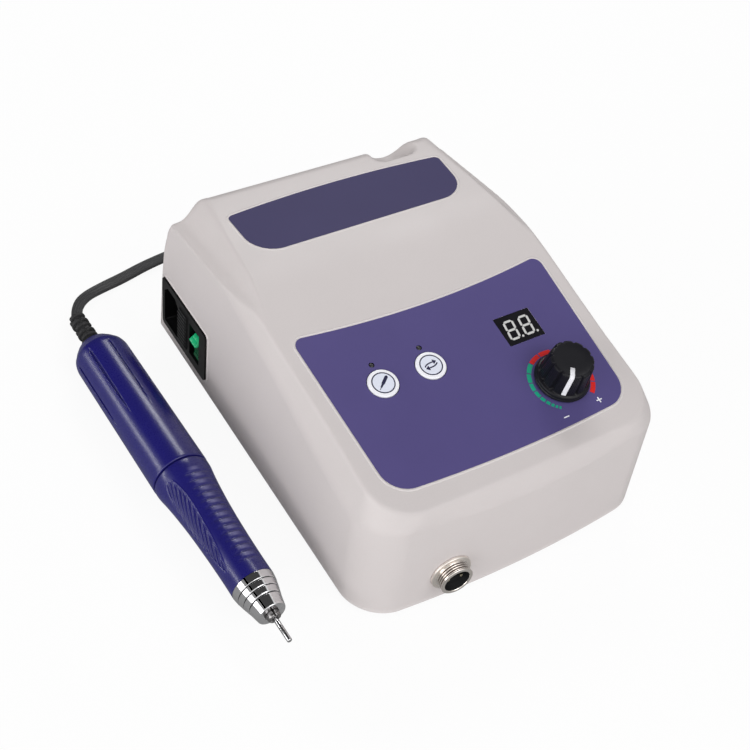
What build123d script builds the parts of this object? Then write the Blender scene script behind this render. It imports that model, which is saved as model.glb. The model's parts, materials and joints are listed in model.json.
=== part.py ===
"""Bench micromotor unit: a sloping control box, its straight handpiece and the cord between them.

Millimetres. The unit stands on z = 0. +X is the user's right, -Y is toward the user and +Z is up.
The origin is under the middle of the box and the handpiece together.
"""
import os
from math import asin, cos, pi, radians, sin, sqrt, tan

from build123d import *

# ---------------------------------------------------------------- driving dimensions: case
case_width = 162.0  # footprint, left to right
case_half_depth = 106.7  # middle of the footprint to the front corners and to the back
front_bow = 5.1  # how far the front face bows out at its middle
front_corner = 19.0  # plan radius of the front corners
rear_corner = 3.0
wall_lean = 1.33  # degrees that each wall leans in as it rises
case_wall = 2.6
foot_stand = 2.0  # the case's bottom edge above the bench
panel_tilt = 11.71  # degrees, falling toward the user
panel_top_y = -9.4  # the panel plane is given at this line
panel_top_z = 83.27
panel_half_rear = 75.0  # half width of the flat panel, at its rear and at its front
panel_half_front = 73.6
panel_front_inset = 2.12  # the panel's front edge behind the front corners of the case
panel_corner = 18.0
bevel_depth = 40.0  # how far down the bevel round the panel is drawn
bevel_side = 24.5  # degrees from the panel's normal, at the sides
bevel_front = 30.0
deck_front_y = 36.0  # the nearly level deck on the hump
deck_front_z = 90.9
deck_rear_inset = 32.7  # the deck's rear end, in front of the case's back
deck_tilt = 0.9
shoulder_inset = 14.5  # the rear edge of the shoulders beside the hump, in front of the case's back
hump_round = (4.6, 12.3)  # a point of the hump's rounded rear edge, in front of that edge and above it
back_lean = [(10.4, 70.0), (5.4, 54.0), (2.7, 34.5)]  # the leaning back: in front of its foot, and height
shoulder_rear_z = 76.6
shoulder_fall = 6.5  # degrees that the shoulders fall toward the back
hump_foot = 75.5  # half width of the hump at the shoulders, and near its top
hump_top = 61.0
hump_rise = 15.2
scoop_x = 41.5  # the rest for the handpiece, a scoop in the hump's rear edge
scoop_front_y = 77.5
scoop_radius = 13.0
scoop_depth = 8.6

# ---------------------------------------------------------------- driving dimensions: panel and its controls
label_thick = 0.4
label_recess = 0.6
label_half_top = 67.8
label_half_low = 63.9
label_run = (0.6, 88.2)  # down the slope from the panel's top line
label_top_sag = 4.6  # the label's top edge dips this much toward the user in its middle
label_low_bow = 3.0
label_top_corner = 5.0
label_low_corner = 11.5
top_label_half = 60.0
top_label_run = (39.0, 69.2)  # along y
top_label_draw = 1.5  # how much narrower the upper label is at its front, each side
top_label_arch = 3.0
top_label_corner = 14.0
top_label_rear_corner = 2.5
label_gap = 0.3
button_radius = 7.2
button_gap = 0.3
button_proud = 0.9
button_travel = 0.8
button_spots = {"start": (-40.4, 36.0), "direction": (-15.4, 36.0)}
lamp_radius = 1.25
lamp_gap = 0.15
lamp_offset = 10.5  # a lamp sits this far up the slope from its button
display_spot = (35.55, 33.15)
display_size = (20.1, 16.1)
knob_spot = (38.0, 65.4)
knob_height = 16.0
knob_skirt_radius = 12.5
knob_top_radius = 10.3
knob_lift = 0.6  # running gap between the knob and the label
knob_rest_turn = 37.0  # degrees left of straight down the slope, where the pointer starts
pot_shaft_radius = 3.0
pot_bush_radius = 4.5
run_gap = 0.05  # radial gap of a shaft in its bearing
board_drop = 14.0  # panel's face to the control board's upper face
board_thick = 1.6
board_size = (112.0, 62.0)
board_middle = (1.0, -50.0)
board_hole_inset = (5.0, 4.0)
board_post_radius = 3.2
button_flange = 1.1
button_stem_radius = 2.4
switch_size = 6.2
switch_height = 3.4
switch_reach = 1.2  # a plunger stands this far out of its switch
plunger_radius = 1.6
plunger_length = 2.6
lamp_proud = 0.2
window_low = 2.8  # the display window's underside and its upper face, below the panel's face
window_sink = 0.1
pot_body_radius = 8.2
pot_nut_radius = 6.0
pot_nut_height = 2.2
knob_skirt_height = 2.4
knob_hollow = 4.4  # top of the space inside the knob that clears the nut
knob_hollow_radius = 7.4
knob_flutes = 12
knob_flute_first = 15.0
flute_radius = 2.4
flute_depth = 1.3
pointer_width = 2.0
pointer_start = 6.2

# ---------------------------------------------------------------- driving dimensions: mains inlet and socket
inlet_rear_inset = 8.3  # the inlet flange's rear edge, in front of the case's back
# from that edge: to the cup, to the drawer, to the rocker, to the front edge
inlet_margins = (2.8, 1.4, 3.2, 6.5)
inlet_rise = (7.9, 38.8)  # and in height
inlet_flange_thick = 1.5
inlet_depth = 27.0
inlet_border = 1.9  # flange beyond the body
cup_size = (16.4, 24.4)
cup_depth = 17.0
cup_pin_length = 11.5
drawer_size = (8.8, 22.4)
drawer_depth = 22.0
drawer_travel = 18.0
rocker_size = (10.8, 20.4)
rocker_depth = 13.0
rocker_tilt = 9.0  # degrees either side of level
rocker_gap = 0.4
rocker_sink = 1.0  # the rocker's pivot behind the wall's face
rocker_proud = 0.4
trunnion_radius = 1.2
trunnion_length = 1.4
drawer_proud = 0.6
drawer_rib_pitch = 2.3
slide_gap = 0.2
inlet_corner = 2.0
blade_size = (4.0, 2.0)
blade_side = 2.0  # the blades' places either way from the cup's middle
blade_rise = 7.0
blade_tail = 6.0
fuse_radius = 2.5
fuse_length = 20.0
socket_neck_radius = 7.4
socket_tail = 13.0
socket_nut_thick = 3.0
socket_pin_side = 3.4
socket_pin_radius = 0.8
socket_pin_reach = 4.0
socket_x = -38.4
socket_z = 16.8
socket_thread_radius = 8.0
socket_flange_radius = 10.0
socket_flange_thick = 1.4
socket_proud = 6.3
socket_bore = 6.25
socket_floor = -3.0  # the insert's face, behind the case's front face

# ---------------------------------------------------------------- driving dimensions: handpiece and cord
hand_radius = 14.1
hand_aside = 41.7  # from the case's left side to the handpiece's tail
hand_back = 93.7  # from the case's middle to the tail, toward the back
hand_yaw = 1.8  # degrees that the handpiece points away from straight ahead
hand_wall = 1.6
seam_along = 99.0  # every "along" is measured from the tail toward the tip
seam_gap = 0.4
grip_end = 168.0
grip_end_radius = 10.3
nose_end = 184.6
nose_end_radius = 6.7
tip_along = 200.0
shank_radius = 1.175
spindle_radius = 3.4
sleeve_radius = 8.4
sleeve_wall = 2.5
can_radius = 12.2
can_wall = 1.0
can_span = (24.0, 88.0)
shaft_radius = 1.5
armature_radius = 9.2
armature_span = (44.0, 78.0)
commutator_radius = 4.2
commutator_span = (30.0, 39.0)
bearing_radius = 4.75
bearing_width = 4.0
spindle_bearing_spots = (120.0, 158.0)
air_gap = 0.4
magnet_gap = 7.0
brush_size = (4.6, 4.0)
shaft_end = 99.9
coupling_grip = 5.0
coupling_radius = 4.6
shank_start = 165.0
collet_start = 174.0
collet_end = 187.5
collet_radius = 3.6
collet_slot = 0.5
collet_slot_length = 9.0
nose_bore = 4.6
nose_steps = 4
tail_depth = 6.0
boot_length = 21.3
boot_radius = 4.4
boot_lip = 0.9
boot_ribs = 5
cord_width = 7.4
coil_height = 7.4
coil_outer = 35.4
coil_inner = 14.1
coil_middle = (89.7, 144.8)
tie_thick = 0.5
tie_width = 8.0
plug_ring_radius = 9.5
plug_ring_wall = 1.45
plug_ring_start = 27.0
plug_length = 44.0
plug_relief = 14.0
plug_grip_radius = 8.4
plug_mouth_radius = 5.6
plug_mouth_depth = 7.0

# ---------------------------------------------------------------- driving dimensions: base, screws and supply
base_thick = 1.5
plate_gap = 0.6  # between the plate's edge and the case's wall
case_post_radius = 4.5
case_post_height = 34.0
case_screw_side = 6.5  # the front screws, in from the case's sides and back from its front corners
case_screw_front = 34.7
case_screw_apart = 80.0  # the rear screws, apart from each other and in from the case's back
case_screw_rear = 8.2
case_screw_length = 14.0
screw_radius = 1.75
screw_core = 1.8
screw_head_radius = 3.2
screw_head_height = 1.5
foot_radius = 8.0
foot_insets = (19.0, 26.7, 22.7)  # from the case's sides, its front corners and its back
small_screw_radius = 1.45
small_screw_core = 1.5
small_screw_length = 6.0
small_head_radius = 2.7
small_head_height = 1.8
core_limb = 12.7
core_height = 64.0
core_thick = 42.0
core_middle = (14.0, 44.0)
coil_overhang = 11.5
clamp_thick = 1.2
clamp_width = 20.0
clamp_foot = 12.0
power_board_size = (96.0, 64.0)
power_board_place = (-2.0, 48.7)  # its middle, across, and back from the case's front corners
power_board_lift = 8.0
sink_place = (-20.0, 10.0)  # from the middle of the power board
sink_size = (50.0, 24.0, 28.0)
sink_pitch = 7.0
sink_floor = 5.0
capacitor_radius = 9.0
capacitor_height = 30.0
capacitor_places = [(24.0, 14.0), (24.0, -10.0), (2.0, -18.0)]  # from the middle of the power board
fit_gap = 0.1  # between pieces of one body that are fitted together
hold_gap = 0.02  # between a shaft and what is fixed on it

cut_over = 1.0  # a cutter starts this far outside the surface that it cuts
wall_cut = 5.0  # the same at the leaning walls
vent_size = (26.0, 3.0)
vent_side = 50.0
vent_rows = (-36.0, 8.0, 6)  # the first vent along y, the pitch and how many
rib_height = 0.9

# ---------------------------------------------------------------- places worked out from them
panel_front_run = (case_half_depth - panel_front_inset + panel_top_y) / cos(radians(panel_tilt))
deck_rear_y = case_half_depth - deck_rear_inset
shoulder_rear_y = case_half_depth - shoulder_inset
board_spots = [(board_middle[0] + way_x * (board_size[0] / 2 - board_hole_inset[0]),
                board_middle[1] + way_y * (board_size[1] / 2 - board_hole_inset[1]))
               for way_x in (-1, 1) for way_y in (-1, 1)]
inlet_rear = case_half_depth - inlet_rear_inset
cup_y = inlet_rear - inlet_margins[0] - cup_size[0] / 2
drawer_y = cup_y - cup_size[0] / 2 - inlet_margins[1] - drawer_size[0] / 2
rocker_y = drawer_y - drawer_size[0] / 2 - inlet_margins[2] - rocker_size[0] / 2
inlet_front = rocker_y - rocker_size[0] / 2 - inlet_margins[3]
case_screw_spots = [(way * (case_width / 2 - case_screw_side), case_screw_front - case_half_depth)
                    for way in (-1, 1)]
case_screw_spots += [(way * case_screw_apart / 2, case_half_depth - case_screw_rear) for way in (-1, 1)]
foot_spots = [(way * (case_width / 2 - foot_insets[0]),
               foot_insets[1] - case_half_depth) for way in (-1, 1)]
foot_spots += [(way * (case_width / 2 - foot_insets[0]),
                case_half_depth - foot_insets[2]) for way in (-1, 1)]
left_reach = case_width / 2 + hand_aside + hand_radius
box_x = (left_reach - case_width / 2) / 2
front_reach = case_half_depth + front_bow * (1 - (2 * socket_x / case_width) ** 2) + socket_proud
box_y = (front_reach - hand_back - boot_length) / 2
panel_slope = tan(radians(panel_tilt))
deck_slope = tan(radians(deck_tilt))
board_low = board_drop + board_thick
skin = case_wall - label_recess  # the panel's wall under a label

power_board_middle = (power_board_place[0], power_board_place[1] - case_half_depth)
sink_middle = (power_board_middle[0] + sink_place[0], power_board_middle[1] + sink_place[1])
capacitor_spots = [(power_board_middle[0] + across, power_board_middle[1] + back)
                   for across, back in capacitor_places]
power_board_spots = [(power_board_middle[0] + way_x * (power_board_size[0] / 2 - 5),
                      power_board_middle[1] + way_y * (power_board_size[1] / 2 - 5))
                     for way_x in (-1, 1) for way_y in (-1, 1)]
clamp_screw_spots = [(core_middle[0] + way_x * (core_limb * 3 + clamp_foot / 2 + 1), core_middle[1])
                     for way_x in (-1, 1)]
base = Plane(origin=(box_x, box_y, foot_stand))
side = Plane(origin=(box_x, box_y, foot_stand), x_dir=(0, 1, 0), z_dir=(1, 0, 0))
panel = Plane(
    origin=(box_x, box_y + panel_top_y, foot_stand + panel_top_z),
    x_dir=(1, 0, 0),
    z_dir=(0, -sin(radians(panel_tilt)), cos(radians(panel_tilt))),
)
deck = Plane(
    origin=(box_x, box_y + deck_front_y, foot_stand + deck_front_z),
    x_dir=(1, 0, 0),
    z_dir=(0, -sin(radians(deck_tilt)), cos(radians(deck_tilt))),
)
shoulder = Plane(
    origin=(box_x, box_y + shoulder_rear_y, foot_stand + shoulder_rear_z),
    x_dir=(1, 0, 0),
    z_dir=(0, -cos(radians(shoulder_fall)), sin(radians(shoulder_fall))),
)
left_wall = Plane(
    origin=(box_x - case_width / 2, box_y, foot_stand),
    x_dir=(0, -1, 0),
    z_dir=(-cos(radians(wall_lean)), 0, sin(radians(wall_lean))),
)
bow_radius = ((case_width / 2) ** 2 + front_bow**2) / (2 * front_bow)
socket_turn = asin(socket_x / bow_radius)
socket_bow = front_bow - bow_radius * (1 - cos(socket_turn))
socket_y = case_half_depth + socket_bow - socket_z * tan(radians(wall_lean))
port = Plane(
    origin=(box_x + socket_x, box_y - socket_y, foot_stand + socket_z),
    x_dir=(cos(socket_turn), sin(socket_turn), 0),
    z_dir=(sin(socket_turn), -cos(socket_turn), tan(radians(wall_lean))),
)
hand = Plane(
    origin=(box_x - case_width / 2 - hand_aside, box_y + hand_back, hand_radius),
    x_dir=(sin(radians(hand_yaw)), -cos(radians(hand_yaw)), 0),
    z_dir=(-cos(radians(hand_yaw)), -sin(radians(hand_yaw)), 0),
)


# ---------------------------------------------------------------- helpers
def on_plane(plane, x, y, height=0.0):
    """A plane parallel to another, with its origin at a point given in the other's own coordinates."""
    return Plane(origin=plane.from_local_coords((x, y, height)), x_dir=plane.x_dir, z_dir=plane.z_dir)


def on_panel(spot, height=0.0):
    """A plane on the panel at (across, down the slope), raised by height."""
    return on_plane(panel, spot[0], -spot[1], height)


def disc(plane, radius, *spots):
    """Circles on a plane, one at each spot, or one at its origin."""
    with BuildSketch(plane) as sketch:
        with Locations(*(spots or [(0, 0)])):
            Circle(radius)
    return sketch.sketch


def slab(plane, width, height, *spots, corner=0.0):
    """Rectangles on a plane, one at each spot, or one at its origin."""
    with BuildSketch(plane) as sketch:
        with Locations(*(spots or [(0, 0)])):
            if corner:
                RectangleRounded(width, height, corner)
            else:
                Rectangle(width, height)
    return sketch.sketch


def turned(plane, *profile, mode=Mode.ADD):
    """Turn a closed profile of (along, radius) points about a plane's own x axis."""
    with BuildSketch(plane) as sketch:
        with BuildLine():
            Polyline(*profile, close=True)
        make_face()
    revolve(sketch.sketch, axis=Axis(plane.origin, plane.x_dir), mode=mode)


def ring(plane, outer, inner, start, end):
    """A plain tube about a plane's own x axis, from start to end along it."""
    turned(plane, (start, inner), (start, outer), (end, outer), (end, inner))


def finish(builder, name):
    """Name a finished piece and write it to its own file."""
    builder.part.label = name
    export_step(builder.part, f"parts/{name}.step")


os.makedirs("parts", exist_ok=True)


# ---------------------------------------------------------------- the case's outer form, and the same form drawn in
def case_plan(inset, level):
    """The footprint: straight sides, a bowed front and rounded corners."""
    half = case_width / 2 - inset
    depth = case_half_depth - inset
    with BuildSketch(base.offset(level)) as plan:
        with BuildLine():
            Polyline((half, -depth), (half, depth), (-half, depth), (-half, -depth))
            ThreePointArc((-half, -depth), (0, -depth - front_bow), (half, -depth))
        make_face()
        fillet(plan.vertices().group_by(Axis.Y)[0], front_corner - inset)
        fillet(plan.vertices().group_by(Axis.Y)[-1], rear_corner)
    return plan.sketch


def bevel_outline(plane, grow_side, grow_front):
    """The panel's flat outline, open-ended toward the back, grown at the sides and at the front."""
    rear = panel_half_rear + grow_side
    half = panel_half_front + grow_side
    front = panel_front_run + grow_front
    back = 2 * case_half_depth
    with BuildSketch(plane) as outline:
        with BuildLine():
            Polyline((half, -front), (half, -front / 2), (rear, 0), (rear, back), (-rear, back), (-rear, 0),
                     (-half, -front / 2), (-half, -front))
            ThreePointArc((-half, -front), (0, -front - 1.6), (half, -front))
        make_face()
        fillet(outline.vertices().group_by(Axis.Y)[0], panel_corner)
    return outline.sketch


def bevel_block(inset):
    """Everything under the panel plane and inside the bevel that runs round it."""
    down = bevel_depth
    side_grow = down * tan(radians(bevel_side))
    front_grow = down * tan(radians(bevel_front))
    shift_side = inset / cos(radians(bevel_side)) - inset * tan(radians(bevel_side))
    shift_front = inset / cos(radians(bevel_front)) - inset * tan(radians(bevel_front))
    with BuildPart() as block:
        loft([
            bevel_outline(panel.offset(-inset), -shift_side, -shift_front),
            bevel_outline(panel.offset(-inset - down), side_grow - shift_side, front_grow - shift_front),
        ], ruled=True)
        extrude(bevel_outline(panel.offset(-inset - down), side_grow - shift_side,
                              front_grow - shift_front),
                amount=-2 * case_half_depth)
    return block.part


def side_profile(inset):
    """The case seen from its side: panel, rise to the deck, deck, rounded rear edge and leaning back."""
    deck_rear_z = deck_front_z + (deck_rear_y - deck_front_y) * deck_slope
    chord = deck_front_z - panel_top_z - (deck_front_y - panel_top_y) * panel_slope
    bend = -2 * chord / (panel_slope - deck_slope)  # length of the arc between panel and deck
    bend_y = deck_front_y - bend
    bend_z = panel_top_z + (bend_y - panel_top_y) * panel_slope
    far = -2 * case_half_depth
    below = 3 * case_wall
    with BuildSketch(on_plane(side, -inset, -inset)) as profile:
        with BuildLine():
            Line((far, bend_z + 1.0), (bend_y, bend_z))
            TangentArc((bend_y, bend_z), (deck_front_y, deck_front_z), tangent=(1, panel_slope))
            Line((deck_front_y, deck_front_z), (deck_rear_y, deck_rear_z))
            Spline((deck_rear_y, deck_rear_z), (shoulder_rear_y - hump_round[0],
                                                shoulder_rear_z + hump_round[1]),
                   (shoulder_rear_y, shoulder_rear_z),
                   tangents=((1, deck_slope), (0.12, -1)))
            Polyline((shoulder_rear_y, shoulder_rear_z),
                     *((case_half_depth - forward, height) for forward, height in back_lean),
                     (case_half_depth, 0), (case_half_depth, -below), (far, -below), (far, bend_z + 1.0))
        make_face()
    return profile.sketch


def hump_end(inset, hand_side):
    """What is cut away beside the hump: over the shoulder, up a hollow flank, to the hump's top."""
    foot = hump_foot - inset
    top = hump_top - inset
    out = case_width
    mirror_x = 1 if hand_side > 0 else -1
    with BuildSketch(shoulder) as cut:
        with BuildLine():
            Line((mirror_x * out, -inset), (mirror_x * foot, -inset))
            Spline((mirror_x * foot, -inset), (mirror_x * (foot - 5.6), 5.6 - inset),
                   (mirror_x * top, hump_rise - inset),
                   tangents=((-mirror_x, 0), (-mirror_x, 0.12)))
            Polyline((mirror_x * top, hump_rise - inset), (mirror_x * top, out), (mirror_x * out, out),
                     (mirror_x * out, -inset))
        make_face()
    return cut.sketch


def scoop_cutter(inset):
    """A round-ended roller that makes the scoop in the hump's rear edge."""
    axis_z = deck_front_z + scoop_radius - scoop_depth
    start = Plane(origin=(box_x + scoop_x, box_y + scoop_front_y - inset, foot_stand + axis_z),
                  x_dir=(-1, 0, 0), z_dir=(0, 1, 0))
    with BuildPart() as cutter:
        extrude(disc(start, scoop_radius + inset), amount=case_half_depth)
        fillet(cutter.edges().group_by(Axis.Y)[0], 6.0 + inset / 2)
    return cutter.part


def case_block(inset, level):
    """The whole outer form of the case, drawn in by inset and standing from level."""
    with BuildPart() as block:
        extrude(case_plan(inset, level), amount=deck_front_z + 6, taper=wall_lean)
        extrude(side_profile(inset), amount=case_width, both=True, mode=Mode.INTERSECT)
        add(bevel_block(inset), mode=Mode.INTERSECT)
        for hand_side in (-1, 1):
            extrude(hump_end(inset, hand_side), amount=2 * case_half_depth, both=True, mode=Mode.SUBTRACT)
        add(scoop_cutter(inset), mode=Mode.SUBTRACT)
    return block.part


# ---------------------------------------------------------------- case mouldings
def control_outline(plane, grow):
    """The lower label: a hollow top edge, sides that draw in and a bowed lower edge."""
    top = -label_run[0] + grow
    low = -label_run[1] + label_low_bow - grow
    wide = label_half_top + grow
    narrow = label_half_low + grow
    with BuildSketch(plane) as outline:
        with BuildLine():
            Line((narrow, low), (wide, top))
            ThreePointArc((wide, top), (0, top - label_top_sag), (-wide, top))
            Line((-wide, top), (-narrow, low))
            ThreePointArc((-narrow, low), (0, low - label_low_bow), (narrow, low))
        make_face()
        fillet(outline.vertices().group_by(Axis.Y)[-1], label_top_corner + grow)
        fillet(outline.vertices().group_by(Axis.Y)[0], label_low_corner + grow)
    return outline.sketch


def upper_outline(plane, grow):
    """The upper label on the deck: an arched rear edge and large front corners."""
    front = top_label_run[0] - deck_front_y - grow
    rear = top_label_run[1] - deck_front_y + grow
    half = top_label_half + grow
    with BuildSketch(plane) as outline:
        with BuildLine():
            Polyline((-half, rear), (-half + top_label_draw, front), (half - top_label_draw, front),
                     (half, rear))
            ThreePointArc((half, rear), (0, rear + top_label_arch), (-half, rear))
        make_face()
        fillet(outline.vertices().group_by(Axis.Y)[0], top_label_corner)
        fillet(outline.vertices().group_by(Axis.Y)[-1], top_label_rear_corner)
    return outline.sketch


def control_spots():
    """The panel's round controls as (across, up the slope) sketch points: buttons, then lamps."""
    buttons = [(x, -v) for x, v in button_spots.values()]
    lamps = [(x, -v + lamp_offset) for x, v in button_spots.values()]
    return buttons, lamps


button_points, lamp_points = control_spots()
display_point = (display_spot[0], -display_spot[1])
knob_point = (knob_spot[0], -knob_spot[1])
inlet_width = inlet_rear - inlet_front
inlet_height = inlet_rise[1] - inlet_rise[0]
inlet_mid_y = (inlet_rear + inlet_front) / 2
inlet_mid_z = (inlet_rise[0] + inlet_rise[1]) / 2
inlet_body = (inlet_width - 2 * inlet_border, inlet_height - 2 * inlet_border)

with BuildPart() as upper_shell:
    add(case_block(0, 0))
    add(case_block(case_wall, -1), mode=Mode.SUBTRACT)
    extrude(disc(base.offset(base_thick), case_post_radius, *case_screw_spots), amount=case_post_height)
    extrude(disc(panel.offset(-board_drop), board_post_radius, *board_spots),
            amount=board_drop - label_recess - skin / 2)
    extrude(control_outline(panel.offset(cut_over), label_gap), amount=-cut_over - label_recess,
            mode=Mode.SUBTRACT)
    extrude(upper_outline(deck.offset(cut_over), label_gap), amount=-cut_over - label_recess,
            mode=Mode.SUBTRACT)
    extrude(disc(panel.offset(cut_over), button_radius + button_gap, *button_points),
            amount=-2 * cut_over - case_wall,
            mode=Mode.SUBTRACT)
    extrude(disc(panel.offset(cut_over), lamp_radius + lamp_gap, *lamp_points),
            amount=-2 * cut_over - case_wall,
            mode=Mode.SUBTRACT)
    extrude(slab(panel.offset(cut_over), display_size[0] + 2 * label_gap,
                 display_size[1] + 2 * label_gap, display_point),
            amount=-2 * cut_over - case_wall, mode=Mode.SUBTRACT)
    extrude(disc(panel.offset(cut_over), pot_bush_radius + run_gap, knob_point),
            amount=-2 * cut_over - case_wall,
            mode=Mode.SUBTRACT)
    extrude(slab(left_wall.offset(wall_cut), inlet_body[0] + 2 * fit_gap, inlet_body[1] + 2 * fit_gap,
                 (-inlet_mid_y, inlet_mid_z)), amount=-2 * wall_cut - case_wall, mode=Mode.SUBTRACT)
    extrude(disc(port.offset(wall_cut), socket_neck_radius + fit_gap), amount=-2 * wall_cut - case_wall,
            mode=Mode.SUBTRACT)
    extrude(disc(base.offset(base_thick), screw_core, *case_screw_spots), amount=case_screw_length,
            mode=Mode.SUBTRACT)
    extrude(disc(panel.offset(-board_drop), small_screw_core, *board_spots), amount=small_screw_length,
            mode=Mode.SUBTRACT)
finish(upper_shell, "upper_shell")

with BuildPart() as base_plate:
    extrude(case_plan(case_wall + plate_gap, 0), amount=base_thick)
    extrude(disc(base.offset(base_thick), board_post_radius, *power_board_spots), amount=power_board_lift)
    extrude(disc(base, screw_radius + fit_gap, *case_screw_spots), amount=base_thick, mode=Mode.SUBTRACT)
    extrude(disc(base, small_screw_core, *clamp_screw_spots), amount=base_thick, mode=Mode.SUBTRACT)
    extrude(disc(base.offset(base_thick), small_screw_core, *power_board_spots), amount=power_board_lift,
            mode=Mode.SUBTRACT)
    vent_spots = [(way * vent_side, vent_rows[0] + row * vent_rows[1])
                  for way in (-1, 1) for row in range(vent_rows[2])]
    extrude(slab(base, *vent_size, *vent_spots, corner=0.46 * vent_size[1]), amount=base_thick,
            mode=Mode.SUBTRACT)
finish(base_plate, "base_plate")

with BuildPart() as rubber_feet:
    extrude(disc(base.offset(-foot_stand), foot_radius, *foot_spots), amount=foot_stand)
finish(rubber_feet, "rubber_feet")

with BuildPart() as case_screws:
    extrude(disc(base.offset(-screw_head_height), screw_head_radius, *case_screw_spots),
            amount=screw_head_height)
    extrude(disc(base, screw_radius, *case_screw_spots), amount=base_thick + case_screw_length - 1)
finish(case_screws, "case_screws")

with BuildPart() as control_label:
    extrude(control_outline(panel.offset(-label_recess), 0), amount=label_thick)
    extrude(disc(panel.offset(-label_recess), button_radius + button_gap, *button_points),
            amount=label_thick,
            mode=Mode.SUBTRACT)
    extrude(disc(panel.offset(-label_recess), lamp_radius + lamp_gap, *lamp_points), amount=label_thick,
            mode=Mode.SUBTRACT)
    extrude(slab(panel.offset(-label_recess), display_size[0] + 2 * label_gap,
                 display_size[1] + 2 * label_gap,
                 display_point), amount=label_thick, mode=Mode.SUBTRACT)
    extrude(disc(panel.offset(-label_recess), pot_nut_radius + label_gap, knob_point), amount=label_thick,
            mode=Mode.SUBTRACT)
finish(control_label, "control_label")

with BuildPart() as top_label:
    extrude(upper_outline(deck.offset(-label_recess), 0), amount=label_thick)
finish(top_label, "top_label")

# ---------------------------------------------------------------- push buttons, lamps and display
button_flange_low = -case_wall - button_gap - button_flange
plunger_top = -board_drop + switch_height + switch_reach
for button_name, button_spot in button_spots.items():
    with BuildPart() as button:
        extrude(disc(on_panel(button_spot, button_flange_low), button_radius + button_flange),
                amount=button_flange)
        extrude(disc(on_panel(button_spot, button_flange_low), button_radius),
                amount=button_proud - button_flange_low)
        chamfer(button.edges().group_by(Axis.Z)[-1], 0.3)
        extrude(disc(on_panel(button_spot, plunger_top), button_stem_radius),
                amount=button_flange_low - plunger_top)
    finish(button, f"{button_name}_button")
    with BuildPart() as plunger:
        extrude(disc(on_panel(button_spot, plunger_top - plunger_length), plunger_radius),
                amount=plunger_length)
    finish(plunger, f"{button_name}_plunger")

with BuildPart() as button_switches:
    extrude(slab(panel.offset(-board_drop), switch_size, switch_size, *button_points), amount=switch_height)
    extrude(disc(panel.offset(-board_drop + 1), plunger_radius + run_gap, *button_points),
            amount=switch_height,
            mode=Mode.SUBTRACT)
finish(button_switches, "button_switches")

with BuildPart() as indicator_leds:
    extrude(disc(panel.offset(-board_drop), lamp_radius, *lamp_points), amount=board_drop + lamp_proud)
    fillet(indicator_leds.edges().filter_by(GeomType.CIRCLE).group_by(Axis.Z)[-1], lamp_radius / 2)
finish(indicator_leds, "indicator_leds")

with BuildPart() as display_window:
    extrude(slab(panel.offset(-window_low), display_size[0], display_size[1], display_point),
            amount=window_low - window_sink)
finish(display_window, "display_window")

with BuildPart() as display_module:
    extrude(slab(panel.offset(-board_drop), display_size[0] + 4, display_size[1] + 3, display_point),
            amount=board_drop - window_low)
finish(display_module, "display_module")

with BuildPart() as control_board:
    extrude(slab(panel.offset(-board_low), board_size[0], board_size[1], board_middle), amount=board_thick)
    extrude(disc(panel.offset(-board_low), small_screw_radius + fit_gap, *board_spots), amount=board_thick,
            mode=Mode.SUBTRACT)
finish(control_board, "control_board")

# ---------------------------------------------------------------- speed control
knob = on_panel(knob_spot)
knob_axis = Plane(origin=knob.origin, x_dir=knob.z_dir, z_dir=knob.x_dir)
turn = radians(knob_rest_turn)
pointer = Plane(origin=knob.origin, x_dir=-knob.x_dir * sin(turn) - knob.y_dir * cos(turn),
                z_dir=knob.z_dir)
pot_body_top = -case_wall - fit_gap
bush_top = pot_nut_height + 0.4
bush_bore = pot_shaft_radius + run_gap
shaft_low = -board_drop + 1.5
shaft_top = knob_height - 4.0
knob_low = knob_lift - label_recess + label_thick
knob_outline = ((knob_low, knob_skirt_radius), (knob_low + knob_skirt_height, knob_skirt_radius),
                (knob_low + knob_skirt_height + 0.5, knob_skirt_radius - 0.8),
                (knob_height - 1.2, knob_top_radius), (knob_height, knob_top_radius - 1.2))

with BuildPart() as speed_pot:
    turned(knob_axis, (-board_drop, 0), (-board_drop, pot_body_radius), (pot_body_top, pot_body_radius),
           (pot_body_top, pot_bush_radius), (bush_top, pot_bush_radius), (bush_top, bush_bore),
           (shaft_low - 0.5, bush_bore), (shaft_low - 0.5, 0))
finish(speed_pot, "speed_pot")

with BuildPart() as pot_shaft:
    turned(knob_axis, (shaft_low, 0), (shaft_low, pot_shaft_radius), (shaft_top, pot_shaft_radius),
           (shaft_top, 0))
finish(pot_shaft, "pot_shaft")

with BuildPart() as pot_nut:
    with BuildSketch(on_panel(knob_spot, -label_recess)):
        RegularPolygon(pot_nut_radius, 6)
        Circle(pot_bush_radius + run_gap, mode=Mode.SUBTRACT)
    extrude(amount=pot_nut_height)
finish(pot_nut, "pot_nut")

with BuildPart() as speed_knob:
    turned(knob_axis, *knob_outline, (knob_height, 0), (shaft_top + 0.1, 0), (shaft_top + 0.1, bush_bore),
           (knob_hollow, bush_bore), (knob_hollow, knob_hollow_radius), (knob_low, knob_hollow_radius))
    flute_ring = knob_skirt_radius + flute_radius - flute_depth
    flute_turns = [knob_flute_first + k * 360 / knob_flutes for k in range(knob_flutes)]
    flute_spots = [(flute_ring * cos(radians(a)), flute_ring * sin(radians(a))) for a in flute_turns]
    extrude(disc(pointer.offset(knob_low + knob_skirt_height), flute_radius, *flute_spots),
            amount=knob_height,
            mode=Mode.SUBTRACT)
    extrude(slab(pointer.offset(knob_low + knob_skirt_height), knob_skirt_radius, pointer_width,
                 (pointer_start + knob_skirt_radius / 2, 0)), amount=knob_height, mode=Mode.SUBTRACT)
finish(speed_knob, "speed_knob")

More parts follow.
